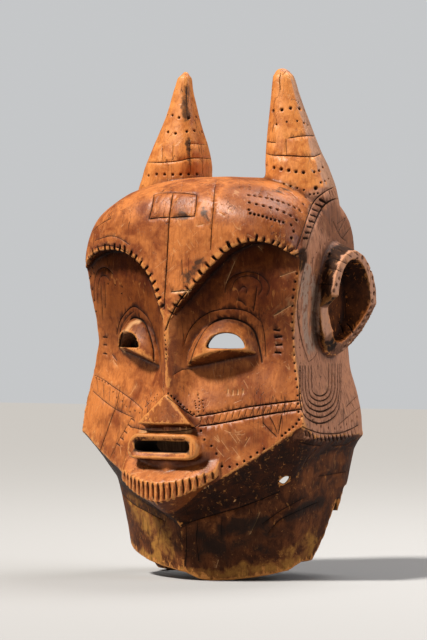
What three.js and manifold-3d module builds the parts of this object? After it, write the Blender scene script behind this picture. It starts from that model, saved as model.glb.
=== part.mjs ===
import * as THREE from 'three';
import { mergeVertices } from 'three/addons/utils/BufferGeometryUtils.js';
import Module from 'manifold-3d';

// Horned helmet mask carved from one block of wood.
// Millimetres, +Z up, the face looks along -Y, the mask's own left is +X.

const wasm = await Module();
wasm.setup();

// Helmet form. Each station is a level of the outer surface, from the median line round to the back.
// width and borderY place the ridge between face and side, medianY the middle of the face,
// roundness is 1 for flat cheeks and more for a bulging brow, and the rest shape the side and back.
const station = (z, width, borderY, medianY, roundness, rearWidth, rearY, backY) =>
  ({ z, width, borderY, medianY, roundness, rearWidth, rearY, backY });

const FACE = [
  station(80, 134, -76, -119, 1.1, 126, 62, 104),
  station(120, 143, -74, -120, 1.05, 133, 62, 108),
  station(165, 144, -71, -118, 1, 135.5, 62, 110),
  station(200, 138.5, -68, -117, 1, 130, 62, 110),
  station(232, 131, -65, -119, 1, 119, 62, 110),
  station(264, 126.5, -63, -121, 1.05, 116, 62, 110),
  station(300, 131, -66, -121, 1.5, 119, 62, 113),
  station(330, 137, -68, -118, 1.8, 123, 61, 115),
  station(356, 138, -65, -115, 2.15, 125, 60, 115),
  station(378, 134, -52, -114, 2.6, 124, 58, 113),
  station(396, 127, -34, -111, 2.9, 121, 54, 108),
  station(410, 118, -16, -106, 2.7, 114, 48, 101),
  station(422, 105, -6, -98, 2.4, 104, 40, 90),
  station(432, 86, -2, -80, 2.2, 86, 32, 74),
  station(439, 60, 0, -55, 2, 60, 24, 54),
  station(442, 28, 0, -26, 2, 28, 16, 30),
];
const COLLAR = [
  station(0, 103, -20, -77, 1.4, 101, 58, 100),
  station(60, 111, -24, -83, 1.4, 110, 60, 104),
  station(110, 118, -34, -91, 1.4, 120, 62, 106),
  station(150, 124, -46, -100, 1.4, 130, 62, 108),
];
const COLLAR_SHIFT = 3;
const CROWN_Z = 443;
const SIDE_BULGE = 2;
const BACK_CURVE = 0.8;
const CAVITY = [
  station(-12, 90, -22, -66, 1.4, 88, 52, 88),
  station(60, 95, -24, -71, 1.4, 95, 52, 91),
  station(120, 101, -32, -83, 1.4, 103, 52, 94),
  station(170, 110, -42, -91, 1.4, 110, 52, 95),
  station(264, 105, -40, -87, 1.4, 101, 52, 94),
  station(330, 110, -40, -84, 1.4, 107, 52, 98),
  station(372, 104, -32, -80, 1.7, 103, 50, 95),
  station(397, 90, -16, -70, 2, 89, 42, 82),
  station(412, 70, -6, -52, 2, 68, 30, 60),
  station(419, 32, 0, -26, 2, 32, 16, 32),
];
const CAVITY_AXIS_Y = 8;
const CAVITY_STEPS = { front: 5, side: 2, back: 4 };
const CAVITY_LEVELS = [-12, 60, 120, 170, 215, 264, 310, 345, 372, 395, 410, 419];

// Jaw and collar edges
const CHIN_Z = 90;
const JAW_CORNER_RISE = { left: 80, right: 70 };
const JAW_CURVE = 1.4;
const JAW_HALF_WIDTH = 140;
const JAW_WIDTH_Z = 130;
const JAW_SIDE_Z = 158;
const JAW_BACK_Z = 150;
const COLLAR_TOP = { front: 57, corner: 118, side: 141 };
const RIM = {
  front: 9, restFrom: 0.24, restTo: 0.34,
  rightCorner: 40, rightCurve: 1.6, rightEnd: [1.1, 1.7],
  leftCorner: 15, leftCurve: 1.2, leftBreak: 5, leftBreakPart: [1, 1.2], leftEnd: [2, 2.4],
};

// Steps of the outer surface round the helmet: median to border, border to rear, rear to middle of the back
const FRONT_STEPS = 12;
const SIDE_STEPS = 5;
const BACK_STEPS = 6;
const HALF_STEPS = FRONT_STEPS + SIDE_STEPS + BACK_STEPS;

// Brow arches and eye sockets
const LEFT_BROW = [
  [2, 278], [8, 289], [15, 300], [22, 309], [30, 318], [38, 327], [47, 337], [58, 347], [70, 359],
  [86, 366], [101, 368], [115, 365], [127, 359], [135, 352], [141, 343],
];
const RIGHT_BROW = [
  [3, 283], [8, 294], [12, 304], [16, 313], [20, 322], [26, 332], [34, 341], [46, 350], [60, 358],
  [80, 361], [100, 360], [115, 356], [127, 349], [136, 341], [141, 333],
];
// Where the notches stand along each arch, from the nose outwards
const LEFT_NOTCHES = [
  0.07, 0.12, 0.18, 0.24, 0.3, 0.36, 0.42, 0.48, 0.54, 0.59, 0.65, 0.7, 0.74, 0.78, 0.82, 0.85, 0.88,
  0.91, 0.94,
];
const RIGHT_NOTCHES = [
  0.08, 0.13, 0.18, 0.23, 0.28, 0.33, 0.38, 0.43, 0.47, 0.52, 0.56, 0.6, 0.64, 0.68, 0.74, 0.8, 0.86,
  0.92,
];
const NOSE_RIDGE_HALF = 2.8;
// A pair gives where a slope starts and ends, along X, along Z or as a share of the half width
const SOCKET = {
  lowZ: 186, deepZ: 250, depth: 8, outerX: 146, clearY: -175,
  roundness: 1.25, roundZ: [240, 340], innerX: 22, outerPart: [0.72, 1],
  flank: 6, flankX: 14, flankPart: [0.2, 0.6], flankZ: 215,
  stepsX: 14, stepsZ: 7, spread: 1.15,
};

// Cuts of the gouge: notches along the brows, rungs of the temple ladder, incised lines
// A cut is a V that keeps a little of its width at the bottom
const CUT_BOTTOM = 0.12;
const BROW_NOTCH = { length: 8, below: 1, width: 3.6, depth: 3.2 };
// The ladder leans back as it rises
const LADDER = {
  rungs: 6, lowZ: 368, highZ: 404, from: 0.97, to: 1.04, lean: 0.21, leanCurve: 1.3, width: 3, depth: 2.6,
};
const LINE = { width: 2.4, depth: 2.2 };
const FOREHEAD = { topZ: 423, lowZ: 286, boxLeft: 24, boxRight: -22, boxLean: 3, boxTop: 421, boxLow: 397 };
const LEFT_BAND = [[[33, 180], [138, 197]], [[35, 169.5], [138, 187]]];
const RIGHT_BAND = [[[42, 186], [122, 223]], [[55, 173], [126, 204]]];

// Eyelids, in a frame that lies on the cheek
const LEFT_EYE = {
  x: 57, z: 238, halfWidth: 40, height: 47, bulge: 24, tilt: 0.12,
  holeHalfWidth: 21, holeOutward: 3, holeBottom: 253, holeTop: 270.2,
};
const RIGHT_EYE = {
  x: 62, z: 241, halfWidth: 37, height: 47, bulge: 24, tilt: 0.17,
  holeHalfWidth: 23.5, holeOutward: 2, holeBottom: 253.5, holeTop: 270.6,
};
const EYELID_INSET = 13;
// The underside of a lid rises from the cheek to the front edge
const EYELID_LIFT = 13;
const EYE_HOLE_DEPTH = 60;
const CHEEK_ANGLE = Math.atan2(63, 125);

// Nose, mouth and chin
const NOSE = {
  apexZ: 203, apexY: -121, apexHalfWidth: 2.5, apexRootY: -105,
  baseZ: 172, x: -2.2, halfWidth: 33.8, baseY: -127.5, cornerY: -121.5, lowZ: 161, rootY: -90,
};
const MUZZLE = { halfWidth: 60, halfHeight: 36, z: 143, frontY: -122, depth: 36 };
const LIPS = {
  x: -4, halfWidth: 45.5, halfHeight: 14, flare: 0.12, z: 147, frontY: -132, depth: 24, edge: 3, sweep: 9,
  holeX: -2.5, holeHalfWidth: 35.5, holeHalfHeight: 6, holeDepth: 80,
};
const CHIN = {
  x: -3.5, halfWidth: 61, tipY: -134, endY: -110, lowZ: 88, leftRise: 26, rightRise: 20.5,
  beard: 20, leftBeard: 7, rightBeard: 12, shelf: 40,
  rootY: -88, undercut: -24, endUndercut: 14, curve: 1.6, shelfCurve: 1.1,
};
const BEARD_FLUTES = 17;
const FLUTE_DEPTH = 3;

// Horns: level, centre and radius of each ring
const HORN_Y = [27, 26, 25, 24, 22.5, 21.5, 20.5, 20, 20, 20, 20];
const LEFT_HORN = [
  [372, 86, 40], [405, 84.5, 42.5], [430, 83, 40], [447, 80.5, 36.3], [469, 75.4, 30.7], [492, 71.6, 25.3],
  [514, 68.8, 20], [535, 66, 15.2], [547, 64.5, 12.8], [556, 62.5, 9.4], [560, 61.5, 5.5],
];
const RIGHT_HORN = [
  [372, 86, 40], [405, 84, 43], [430, 81.5, 41], [447, 78.3, 37.8], [460, 75.2, 34.8], [480, 72, 29],
  [500, 70, 21.8], [521, 68.4, 15.6], [543, 67.5, 10.2], [556, 65.5, 7], [563, 64, 3.4],
];
const HORN_SEGMENTS = 16;
const HORN_TIP_RISE = 1;
const HORN_SQUARENESS = 2.5;
const LEFT_HORN_TURN = 0.44;

// Ears: a bowl standing out of the side, notched at its lower front
const EAR_SEGMENTS = 22;
const EAR_ROOT = { x: 118, y: 17, z: 308, halfY: 35, halfZ: 69, lean: 0 };
const EAR_RIM = { x: 156, y: 18, z: 302, halfY: 49, halfZ: 57, lean: 0.48 };
const EAR_FLOOR = { x: 127, y: 17, z: 303, halfY: 25, halfZ: 40, lean: 0 };
const EAR_MOUTH = { x: 158, y: 18, z: 302, halfY: 36.5, halfZ: 49, lean: 0 };
const EAR_NOTCH = {
  frontX: 133, insideX: 143, outerX: 166, frontY: -44, insideY: 2, lowZ: 262, rootHighZ: 298, highZ: 315,
};

// Openings and breaks of the collar and the back
const BACK_OPENING = {
  frontY: 46, depth: 110, steps: 24,
  edge: [
    [-58, 70], [-15, 64], [20, 76], [34, 122], [30, 182], [17, 238], [-10, 284],
    [-50, 300], [-88, 291], [-104, 262], [-98, 222], [-86, 170], [-84, 110],
  ],
};
const LEFT_BREAK = {
  x: 24, depth: 130,
  edge: [
    [4, -10], [12, 17], [27, 34], [38, 47], [51, 77], [55, 88], [58, 80], [60, 71], [65, 84], [68, 98],
    [84, 104], [100, 98], [150, 92], [150, -10],
  ],
};
const SMALL_HOLE = {
  x: 90, y: -20, z: 112, turn: 0.55, depth: 90, inside: 30,
  edge: [[-8, -3], [-2, -6], [8, 5], [-1, 3]],
};

const WOOD = { color: 0x9c5a2c, roughness: 0.62, metalness: 0 };

const smooth = (t) => t * t * (3 - 2 * t);
const clamp01 = (t) => Math.min(1, Math.max(0, t));
const ramp = (value, from, to) => smooth(clamp01((value - from) / (to - from)));
const mix = THREE.MathUtils.lerp;

// A smooth curve through the stations, read at one level
function levelOf(stations, z) {
  const last = stations.length - 1;
  const level = Math.min(stations[last].z, Math.max(stations[0].z, z));
  let i = 0;
  while (i < last - 1 && stations[i + 1].z < level) i += 1;
  const [a, b] = [stations[i], stations[i + 1]];
  const [before, after] = [stations[Math.max(0, i - 1)], stations[Math.min(last, i + 2)]];
  const span = b.z - a.z;
  const t = (level - a.z) / span;
  const out = { z: level };
  for (const key of Object.keys(a)) {
    if (key === 'z') continue;
    const slopeA = span * (b[key] - before[key]) / (b.z - before.z);
    const slopeB = span * (after[key] - a[key]) / (after.z - a.z);
    const t2 = t * t;
    const t3 = t2 * t;
    out[key] = (2 * t3 - 3 * t2 + 1) * a[key] + (t3 - 2 * t2 + t) * slopeA
      + (3 * t2 - 2 * t3) * b[key] + (t3 - t2) * slopeB;
  }
  return out;
}

// A point of one level's outline: part 0 to 1 is the face, 1 to 2 the side and 2 to 3 the back
function outlinePoint(level, part) {
  if (part <= 1) {
    const angle = part * Math.PI / 2;
    const power = 2 / level.roundness;
    return [
      level.width * Math.sin(angle) ** power,
      level.borderY + (level.medianY - level.borderY) * Math.cos(angle) ** power,
    ];
  }
  if (part <= 2) {
    const along = part - 1;
    return [
      mix(level.width, level.rearWidth, along) + SIDE_BULGE * Math.sin(Math.PI * along),
      mix(level.borderY, level.rearY, along),
    ];
  }
  const angle = (part - 2) * Math.PI / 2;
  return [
    level.rearWidth * Math.max(0, Math.cos(angle)) ** BACK_CURVE,
    level.rearY + (level.backY - level.rearY) * Math.sin(angle) ** BACK_CURVE,
  ];
}

function solid(geometry) {
  const bare = geometry.clone();
  bare.deleteAttribute('normal');
  bare.deleteAttribute('uv');
  const merged = mergeVertices(bare, 1e-4);
  return new wasm.Manifold(new wasm.Mesh({
    numProp: 3,
    vertProperties: Float32Array.from(merged.attributes.position.array),
    triVerts: Uint32Array.from(merged.index.array),
  }));
}

function moveVertices(geometry, place) {
  const position = geometry.attributes.position;
  for (let i = 0; i < position.count; i += 1) {
    const [x, y, z] = place(position.getX(i), position.getY(i), position.getZ(i));
    position.setXYZ(i, x, y, z);
  }
  return geometry;
}

// The same piece on the other side of the median plane
function mirrored(geometry) {
  const copy = geometry.index ? geometry.toNonIndexed() : geometry.clone();
  moveVertices(copy, (x, y, z) => [-x, y, z]);
  const position = copy.attributes.position;
  for (let i = 0; i < position.count; i += 3) {
    for (const axis of ['X', 'Y', 'Z']) {
      const second = position[`get${axis}`](i + 1);
      position[`set${axis}`](i + 1, position[`get${axis}`](i + 2));
      position[`set${axis}`](i + 2, second);
    }
  }
  return copy;
}

// A block whose corners run 0 to 1 along X, Y and Z before place moves them
function block(stepsX, stepsY, stepsZ, place) {
  const box = new THREE.BoxGeometry(1, 1, 1, stepsX, stepsY, stepsZ);
  return moveVertices(box, (x, y, z) => place(x + 0.5, y + 0.5, z + 0.5));
}

// A closed tower of rings: place gets the step round from the front, the ring's number,
// and 0 on the axis or 1 on the wall
function tower(around, rings, place) {
  const cylinder = new THREE.CylinderGeometry(1, 1, 1, around, rings);
  return moveVertices(cylinder, (x, y, z) => {
    const step = Math.round(around * (Math.atan2(x, z) / (2 * Math.PI) + 1)) % around;
    const ring = Math.round((y + 0.5) * rings);
    return place(step, ring, Math.hypot(x, z) > 0.5 ? 1 : 0);
  });
}

// Step round the helmet, as side (1 left, -1 right) and part of the outline
function partOfStep(step, front, side, back) {
  const half = front + side + back;
  const sign = step <= half ? 1 : -1;
  const along = step <= half ? step : 2 * half - step;
  if (along <= front) return [sign, along / front];
  if (along <= front + side) return [sign, 1 + (along - front) / side];
  return [sign, 2 + (along - front - side) / back];
}

function jawEdge(sign, part) {
  if (part > 1) return mix(JAW_SIDE_Z, JAW_BACK_Z, clamp01(part - 2));
  const rise = sign > 0 ? JAW_CORNER_RISE.left : JAW_CORNER_RISE.right;
  const across = outlinePoint(levelOf(FACE, JAW_WIDTH_Z), part)[0] / JAW_HALF_WIDTH;
  return CHIN_Z + rise * Math.min(1, across) ** JAW_CURVE;
}

function collarTop(part) {
  if (part > 1) return mix(COLLAR_TOP.corner, COLLAR_TOP.side, clamp01(2 * (part - 1)));
  return mix(COLLAR_TOP.front, COLLAR_TOP.corner, part);
}

// The rim is worn uneven: it lifts beside the right jaw and towards the broken left side
function rimHeight(sign, part) {
  if (sign < 0) {
    const height = mix(RIM.front, RIM.rightCorner, Math.min(1, part) ** RIM.rightCurve);
    return height * (1 - ramp(part, ...RIM.rightEnd));
  }
  const towardsCorner = clamp01((part - RIM.restTo) / (1 - RIM.restTo)) ** RIM.leftCurve;
  const lift = RIM.leftCorner * towardsCorner + RIM.leftBreak * ramp(part, ...RIM.leftBreakPart);
  return RIM.front * (1 - ramp(part, 0, RIM.restFrom)) + lift * (1 - ramp(part, ...RIM.leftEnd));
}

const FACE_LEVELS = [0.12, 0.25, 0.4, 0.55, 0.7, 0.85, 1];
const FACE_TOP_Z = 342;
const DOME_LEVELS = [358, 373, 386, 397, 407, 416, 424, 431, 436, 440, 442];
const COLLAR_RINGS = 3;

function helmetBlank() {
  const rings = COLLAR_RINGS + 1 + FACE_LEVELS.length + DOME_LEVELS.length;
  return tower(2 * HALF_STEPS, rings, (step, ring, wall) => {
    const [sign, part] = partOfStep(step, FRONT_STEPS, SIDE_STEPS, BACK_STEPS);
    if (ring <= COLLAR_RINGS) {
      const z = mix(rimHeight(sign, part), collarTop(part), ring / COLLAR_RINGS);
      const [x, y] = outlinePoint(levelOf(COLLAR, z), part);
      return wall ? [sign * x - COLLAR_SHIFT, y, z] : [0, 0, 0];
    }
    const jaw = jawEdge(sign, part);
    const heights = [jaw, ...FACE_LEVELS.map((t) => mix(jaw, FACE_TOP_Z, t)), ...DOME_LEVELS];
    const z = heights[ring - COLLAR_RINGS - 1];
    const [x, y] = outlinePoint(levelOf(FACE, z), part);
    return wall ? [sign * x, y, z] : [0, 0, CROWN_Z];
  });
}

function cavityCore() {
  const { front, side, back } = CAVITY_STEPS;
  return tower(2 * (front + side + back), CAVITY_LEVELS.length - 1, (step, ring, wall) => {
    const [sign, part] = partOfStep(step, front, side, back);
    const z = CAVITY_LEVELS[ring];
    if (!wall) return [0, CAVITY_AXIS_Y, z];
    const [x, y] = outlinePoint(levelOf(CAVITY, z), part);
    return [sign * x, y, z];
  });
}

function archHeight(arch, x) {
  if (x <= arch[0][0]) return arch[0][1];
  for (let i = 1; i < arch.length; i += 1) {
    const [x0, z0] = arch[i - 1];
    const [x1, z1] = arch[i];
    if (x <= x1) return mix(z0, z1, (x - x0) / (x1 - x0));
  }
  return arch[arch.length - 1][1];
}

// Surface of the brow and the face before it is hollowed
function faceY(x, z) {
  const level = levelOf(FACE, z);
  const rest = Math.max(0, 1 - Math.min(1, Math.abs(x) / level.width) ** level.roundness);
  return level.borderY + (level.medianY - level.borderY) * rest ** (1 / level.roundness);
}

// Surface of the hollowed cheek and socket
function cheekY(x, z) {
  const level = levelOf(FACE, z);
  const across = clamp01(x / level.width);
  const roundness = mix(1, SOCKET.roundness, ramp(z, ...SOCKET.roundZ));
  const plane = mix(level.borderY, level.medianY, (1 - across ** roundness) ** (1 / roundness));
  const edges = ramp(x, NOSE_RIDGE_HALF, SOCKET.innerX) * (1 - ramp(across, ...SOCKET.outerPart));
  const beside = ramp(x, NOSE_RIDGE_HALF, SOCKET.flankX) * (1 - ramp(across, ...SOCKET.flankPart));
  const depth = SOCKET.depth * ramp(z, SOCKET.lowZ, SOCKET.deepZ) * edges;
  const flank = SOCKET.flank * ramp(z, SOCKET.lowZ, SOCKET.flankZ) * beside;
  return plane + depth + flank;
}

// A groove of V section: at gives a point along it, outAt the way out of the wood there
function vCut(steps, at, outAt, cut) {
  return block(steps, 1, 1, (a, b, c) => {
    const here = at(a);
    const ahead = at(a + 0.01).sub(at(a - 0.01)).normalize();
    const out = outAt(here);
    const across = new THREE.Vector3().crossVectors(out, ahead).normalize();
    const lift = b > 0.5 ? -cut.depth : cut.depth;
    const half = cut.width * (b > 0.5 ? CUT_BOTTOM : 1 - CUT_BOTTOM);
    here.addScaledVector(out, lift).addScaledVector(across, half * (2 * c - 1));
    return here.toArray();
  });
}

// A groove along a line on a surface that is given as y of x and z
function gouge(surface, start, end, steps, cut) {
  const at = (t) => {
    const x = mix(start[0], end[0], t);
    const z = mix(start[1], end[1], t);
    return new THREE.Vector3(x, surface(x, z), z);
  };
  const outAt = ({ x, z }) => {
    const slopeX = surface(x + 0.5, z) - surface(x - 0.5, z);
    const slopeZ = surface(x, z + 0.5) - surface(x, z - 0.5);
    return new THREE.Vector3(slopeX, -1, slopeZ).normalize();
  };
  return vCut(steps, at, outAt, cut);
}

// Notches stand square to the arch, from just below its edge to the top of the brow band
function browNotches(brow, places) {
  const arch = new THREE.Path(brow.map(([x, z]) => new THREE.Vector2(x, z)));
  return places.map((t) => {
    const edge = arch.getPointAt(t);
    const run = arch.getTangentAt(t);
    const square = (up) => [edge.x - run.y * up, edge.y + run.x * up];
    return gouge(faceY, square(-BROW_NOTCH.below), square(BROW_NOTCH.length), 1, BROW_NOTCH);
  });
}

// Rungs lie across the ridge between the forehead and the side
function ladderRungs() {
  const rungs = [];
  for (let i = 0; i < LADDER.rungs; i += 1) {
    const rise = i / (LADDER.rungs - 1);
    const z = mix(LADDER.lowZ, LADDER.highZ, rise);
    const level = levelOf(FACE, z);
    const back = LADDER.lean * rise ** LADDER.leanCurve;
    const inner = new THREE.Vector3(...outlinePoint(level, LADDER.from + back), z);
    const outer = new THREE.Vector3(...outlinePoint(level, LADDER.to + back), z);
    const out = new THREE.Vector3(outer.y - inner.y, inner.x - outer.x, outer.x - inner.x).normalize();
    rungs.push(vCut(1, (t) => inner.clone().lerp(outer, t), () => out, LADDER));
  }
  return rungs;
}

function foreheadLines() {
  const { topZ, lowZ, boxLeft, boxRight, boxLean, boxTop, boxLow } = FOREHEAD;
  return [
    gouge(faceY, [0, lowZ], [0, topZ], 9, LINE),
    gouge(faceY, [boxRight, boxTop], [boxLeft, boxTop], 2, LINE),
    gouge(faceY, [boxRight - boxLean, boxLow], [boxLeft, boxLow], 2, LINE),
    gouge(faceY, [boxRight, boxLow], [boxRight, boxTop], 2, LINE),
    gouge(faceY, [boxLeft, boxLow], [boxLeft, boxTop], 2, LINE),
  ];
}

function socketCutter(brow) {
  return block(SOCKET.stepsX, 1, SOCKET.stepsZ, (a, b, c) => {
    const x = mix(NOSE_RIDGE_HALF, SOCKET.outerX, a ** SOCKET.spread);
    const z = mix(SOCKET.lowZ, archHeight(brow, x), c);
    return [x, b > 0.5 ? cheekY(x, z) : SOCKET.clearY, z];
  });
}

// A frame on the cheek plane: along runs outwards over the cheek, out points away from it
function onCheek(eye, along, out, z) {
  const plane = levelOf(FACE, eye.z);
  const y = mix(plane.medianY, plane.borderY, eye.x / plane.width);
  return [
    eye.x + along * Math.cos(CHEEK_ANGLE) + out * Math.sin(CHEEK_ANGLE),
    y + along * Math.sin(CHEEK_ANGLE) - out * Math.cos(CHEEK_ANGLE),
    z,
  ];
}

// Half a ball, with a flat underside that shows from the front
function eyelid(eye) {
  const ball = new THREE.SphereGeometry(1, 18, 10);
  ball.rotateX(Math.PI / 2);
  return moveVertices(ball, (x, y, z) => {
    const up = Math.max(0, z);
    const lift = EYELID_LIFT * Math.max(0, -y) * (1 - up);
    const height = eye.z + eye.height * up + lift + eye.tilt * eye.halfWidth * x;
    return onCheek(eye, eye.halfWidth * x, -eye.bulge * y - EYELID_INSET, height);
  });
}

function eyeHole(eye) {
  const { holeHalfWidth, holeOutward, holeBottom, holeTop } = eye;
  const shape = new THREE.Shape();
  shape.moveTo(-holeHalfWidth, holeBottom);
  shape.lineTo(holeHalfWidth, holeBottom);
  shape.absellipse(0, holeBottom, holeHalfWidth, holeTop - holeBottom, 0, Math.PI, false);
  const cut = { depth: EYE_HOLE_DEPTH, bevelEnabled: false, curveSegments: 10 };
  const prism = new THREE.ExtrudeGeometry(shape, cut);
  return moveVertices(prism, (x, y, z) => onCheek(eye, x + holeOutward, z - 0.75 * EYE_HOLE_DEPTH, y));
}

function noseWedge() {
  return block(2, 1, 4, (a, b, c) => {
    const x = mix(NOSE.x, 0, c) + mix(NOSE.halfWidth, NOSE.apexHalfWidth, c) * (2 * a - 1);
    const middle = 1 - Math.abs(2 * a - 1);
    const frontY = mix(mix(NOSE.cornerY, NOSE.baseY, middle), NOSE.apexY, c);
    const z = mix(b > 0.5 ? NOSE.lowZ : NOSE.baseZ, NOSE.apexZ, c);
    return [x, b > 0.5 ? mix(NOSE.rootY, NOSE.apexRootY, c) : frontY, z];
  });
}

function roundedSlot(halfWidth, halfHeight) {
  const straight = halfWidth - halfHeight;
  const shape = new THREE.Shape();
  shape.moveTo(-straight, -halfHeight);
  shape.lineTo(straight, -halfHeight);
  shape.absarc(straight, 0, halfHeight, -Math.PI / 2, Math.PI / 2, false);
  shape.lineTo(-straight, halfHeight);
  shape.absarc(-straight, 0, halfHeight, Math.PI / 2, Math.PI * 1.5, false);
  return shape;
}

// A shape drawn in X and Z, pushed back along +Y from frontY
function pushedBack(shape, frontY, depth, centreZ, bevel) {
  const geometry = new THREE.ExtrudeGeometry(shape, {
    depth,
    bevelEnabled: bevel > 0,
    bevelThickness: bevel,
    bevelSize: bevel,
    bevelOffset: -bevel,
    bevelSegments: 2,
    curveSegments: 6,
  });
  return moveVertices(geometry, (x, y, z) => [x, frontY + bevel + depth - z, y + centreZ]);
}

function muzzle() {
  const ball = new THREE.SphereGeometry(1, 16, 8);
  const backY = MUZZLE.frontY + MUZZLE.depth;
  return moveVertices(ball, (x, y, z) => [
    MUZZLE.halfWidth * x,
    backY - MUZZLE.depth * z,
    MUZZLE.z + MUZZLE.halfHeight * y,
  ]);
}

function lips() {
  const outline = roundedSlot(LIPS.halfWidth, LIPS.halfHeight);
  const ring = pushedBack(outline, LIPS.frontY, LIPS.depth, LIPS.z, LIPS.edge);
  return moveVertices(ring, (x, y, z) => [
    LIPS.x + x * (1 + LIPS.flare * (LIPS.z - z) / (2 * LIPS.halfHeight)),
    y + LIPS.sweep * (x / LIPS.halfWidth) ** 2,
    z,
  ]);
}

function mouthHole() {
  const slot = roundedSlot(LIPS.holeHalfWidth, LIPS.holeHalfHeight);
  const hole = pushedBack(slot, LIPS.frontY - LIPS.edge, LIPS.holeDepth, LIPS.z, 0);
  return hole.translate(LIPS.holeX, 0, 0);
}

// Crescent chin: a shelf that sweeps up to the lower lip, over a band of flutes
function chin() {
  const steps = 2 * BEARD_FLUTES + 1;
  return block(steps, 2, 2, (a, b, c) => {
    const side = 2 * a - 1;
    const x = CHIN.x + CHIN.halfWidth * side;
    const rim = CHIN.tipY + (CHIN.endY - CHIN.tipY) * side * side;
    const [rise, endBeard] = side > 0 ? [CHIN.leftRise, CHIN.leftBeard] : [CHIN.rightRise, CHIN.rightBeard];
    const low = CHIN.lowZ + rise * Math.abs(side) ** CHIN.curve;
    const beard = mix(CHIN.beard, endBeard, Math.abs(side) ** CHIN.curve);
    const step = Math.round(a * steps);
    const inFlute = step > 0 && step < steps && step % 2 === 0;
    const onBand = b < 0.1 && c < 0.9;
    const flute = inFlute && onBand ? FLUTE_DEPTH : 0;
    const y = mix(rim, CHIN.rootY, b) + flute;
    const underside = low + b * mix(CHIN.undercut, CHIN.endUndercut, Math.abs(side) ** CHIN.curve);
    const shelf = low + beard + CHIN.shelf * b ** CHIN.shelfCurve;
    return [x, y, mix(underside, shelf, c)];
  });
}

function horn(stations, turn) {
  return tower(HORN_SEGMENTS, stations.length - 1, (step, ring, wall) => {
    const [z, x, r] = stations[ring];
    const y = HORN_Y[ring];
    if (!wall) return [x, y, ring === 0 ? z : z + HORN_TIP_RISE];
    const angle = 2 * Math.PI * step / HORN_SEGMENTS - Math.PI / 2;
    const [c, s] = [Math.cos(angle), Math.sin(angle)];
    const power = 2 / HORN_SQUARENESS;
    const across = r * Math.sign(c) * Math.abs(c) ** power;
    const along = r * Math.sign(s) * Math.abs(s) ** power;
    return [
      x + across * Math.cos(turn) - along * Math.sin(turn),
      y + across * Math.sin(turn) + along * Math.cos(turn),
      z,
    ];
  });
}

// A cone along X from one oval to another; lean brings an oval's lower half nearer to the head
function ovalCone(inner, outer) {
  return tower(EAR_SEGMENTS, 1, (step, ring, wall) => {
    const oval = ring === 0 ? inner : outer;
    const angle = 2 * Math.PI * step / EAR_SEGMENTS;
    const rise = wall * oval.halfZ * Math.sin(angle);
    return [
      oval.x + oval.lean * Math.min(0, rise),
      oval.y + wall * oval.halfY * Math.cos(angle),
      oval.z + rise,
    ];
  });
}

function earNotch() {
  const n = EAR_NOTCH;
  return block(1, 1, 1, (a, b, c) => [
    mix(mix(n.frontX, n.insideX, b), n.outerX, a),
    mix(n.frontY, n.insideY, b),
    mix(n.lowZ, mix(n.rootHighZ, n.highZ, a), c),
  ]);
}

const flatPoint = ([across, up]) => new THREE.Vector2(across, up);

function backOpening() {
  const { edge, steps, frontY, depth } = BACK_OPENING;
  const curve = new THREE.SplineCurve([...edge, edge[0]].map(flatPoint));
  return pushedBack(new THREE.Shape(curve.getPoints(steps).slice(0, -1)), frontY, depth, 0, 0);
}

// The left rear of the collar is broken away, with a splinter left hanging
function leftBreak() {
  const shape = new THREE.Shape(LEFT_BREAK.edge.map(flatPoint));
  const slab = new THREE.ExtrudeGeometry(shape, { depth: LEFT_BREAK.depth, bevelEnabled: false });
  return moveVertices(slab, (y, z, x) => [x + LEFT_BREAK.x, y, z]);
}

function smallHole() {
  const { edge, turn, depth, inside } = SMALL_HOLE;
  const shape = new THREE.Shape(edge.map(flatPoint));
  const prism = new THREE.ExtrudeGeometry(shape, { depth, bevelEnabled: false });
  const [c, s] = [Math.cos(turn), Math.sin(turn)];
  return moveVertices(prism, (x, y, z) => {
    const out = z - inside;
    return [SMALL_HOLE.x + x * c + out * s, SMALL_HOLE.y + x * s - out * c, SMALL_HOLE.z + y];
  });
}

const bothSides = [1, -1];
const sided = (side, shape) => solid(side > 0 ? shape : mirrored(shape));
const add = (shape) => { mask = mask.add(shape); };
const cutAway = (shape) => { mask = mask.subtract(shape); };

let mask = solid(helmetBlank());
for (const side of bothSides) {
  const [brow, notches] = side > 0 ? [LEFT_BROW, LEFT_NOTCHES] : [RIGHT_BROW, RIGHT_NOTCHES];
  add(sided(side, side > 0 ? horn(LEFT_HORN, LEFT_HORN_TURN) : horn(RIGHT_HORN, 0)));
  for (const cut of [...browNotches(brow, notches), ...ladderRungs()]) cutAway(sided(side, cut));
  cutAway(sided(side, socketCutter(brow)));
}
for (const cut of foreheadLines()) cutAway(solid(cut));
for (const side of bothSides) {
  for (const [start, end] of side > 0 ? LEFT_BAND : RIGHT_BAND) {
    cutAway(sided(side, gouge(cheekY, start, end, 3, LINE)));
  }
  add(sided(side, eyelid(side > 0 ? LEFT_EYE : RIGHT_EYE)));
  add(sided(side, ovalCone(EAR_ROOT, EAR_RIM)));
  cutAway(sided(side, ovalCone(EAR_FLOOR, EAR_MOUTH)));
  cutAway(sided(side, earNotch()));
}
add(solid(muzzle()));
add(solid(noseWedge()));
add(solid(lips()));
add(solid(chin()));
cutAway(solid(cavityCore()));
for (const side of bothSides) cutAway(sided(side, eyeHole(side > 0 ? LEFT_EYE : RIGHT_EYE)));
cutAway(solid(mouthHole()));
cutAway(solid(backOpening()));
cutAway(solid(leftBreak()));
cutAway(solid(smallHole()));

const carved = mask.getMesh();
const geometry = new THREE.BufferGeometry();
geometry.setAttribute('position', new THREE.BufferAttribute(carved.vertProperties, 3));
geometry.setIndex(new THREE.BufferAttribute(carved.triVerts, 1));
const maskMesh = new THREE.Mesh(geometry, new THREE.MeshStandardMaterial(WOOD));
maskMesh.name = 'helmet_mask';

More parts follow.
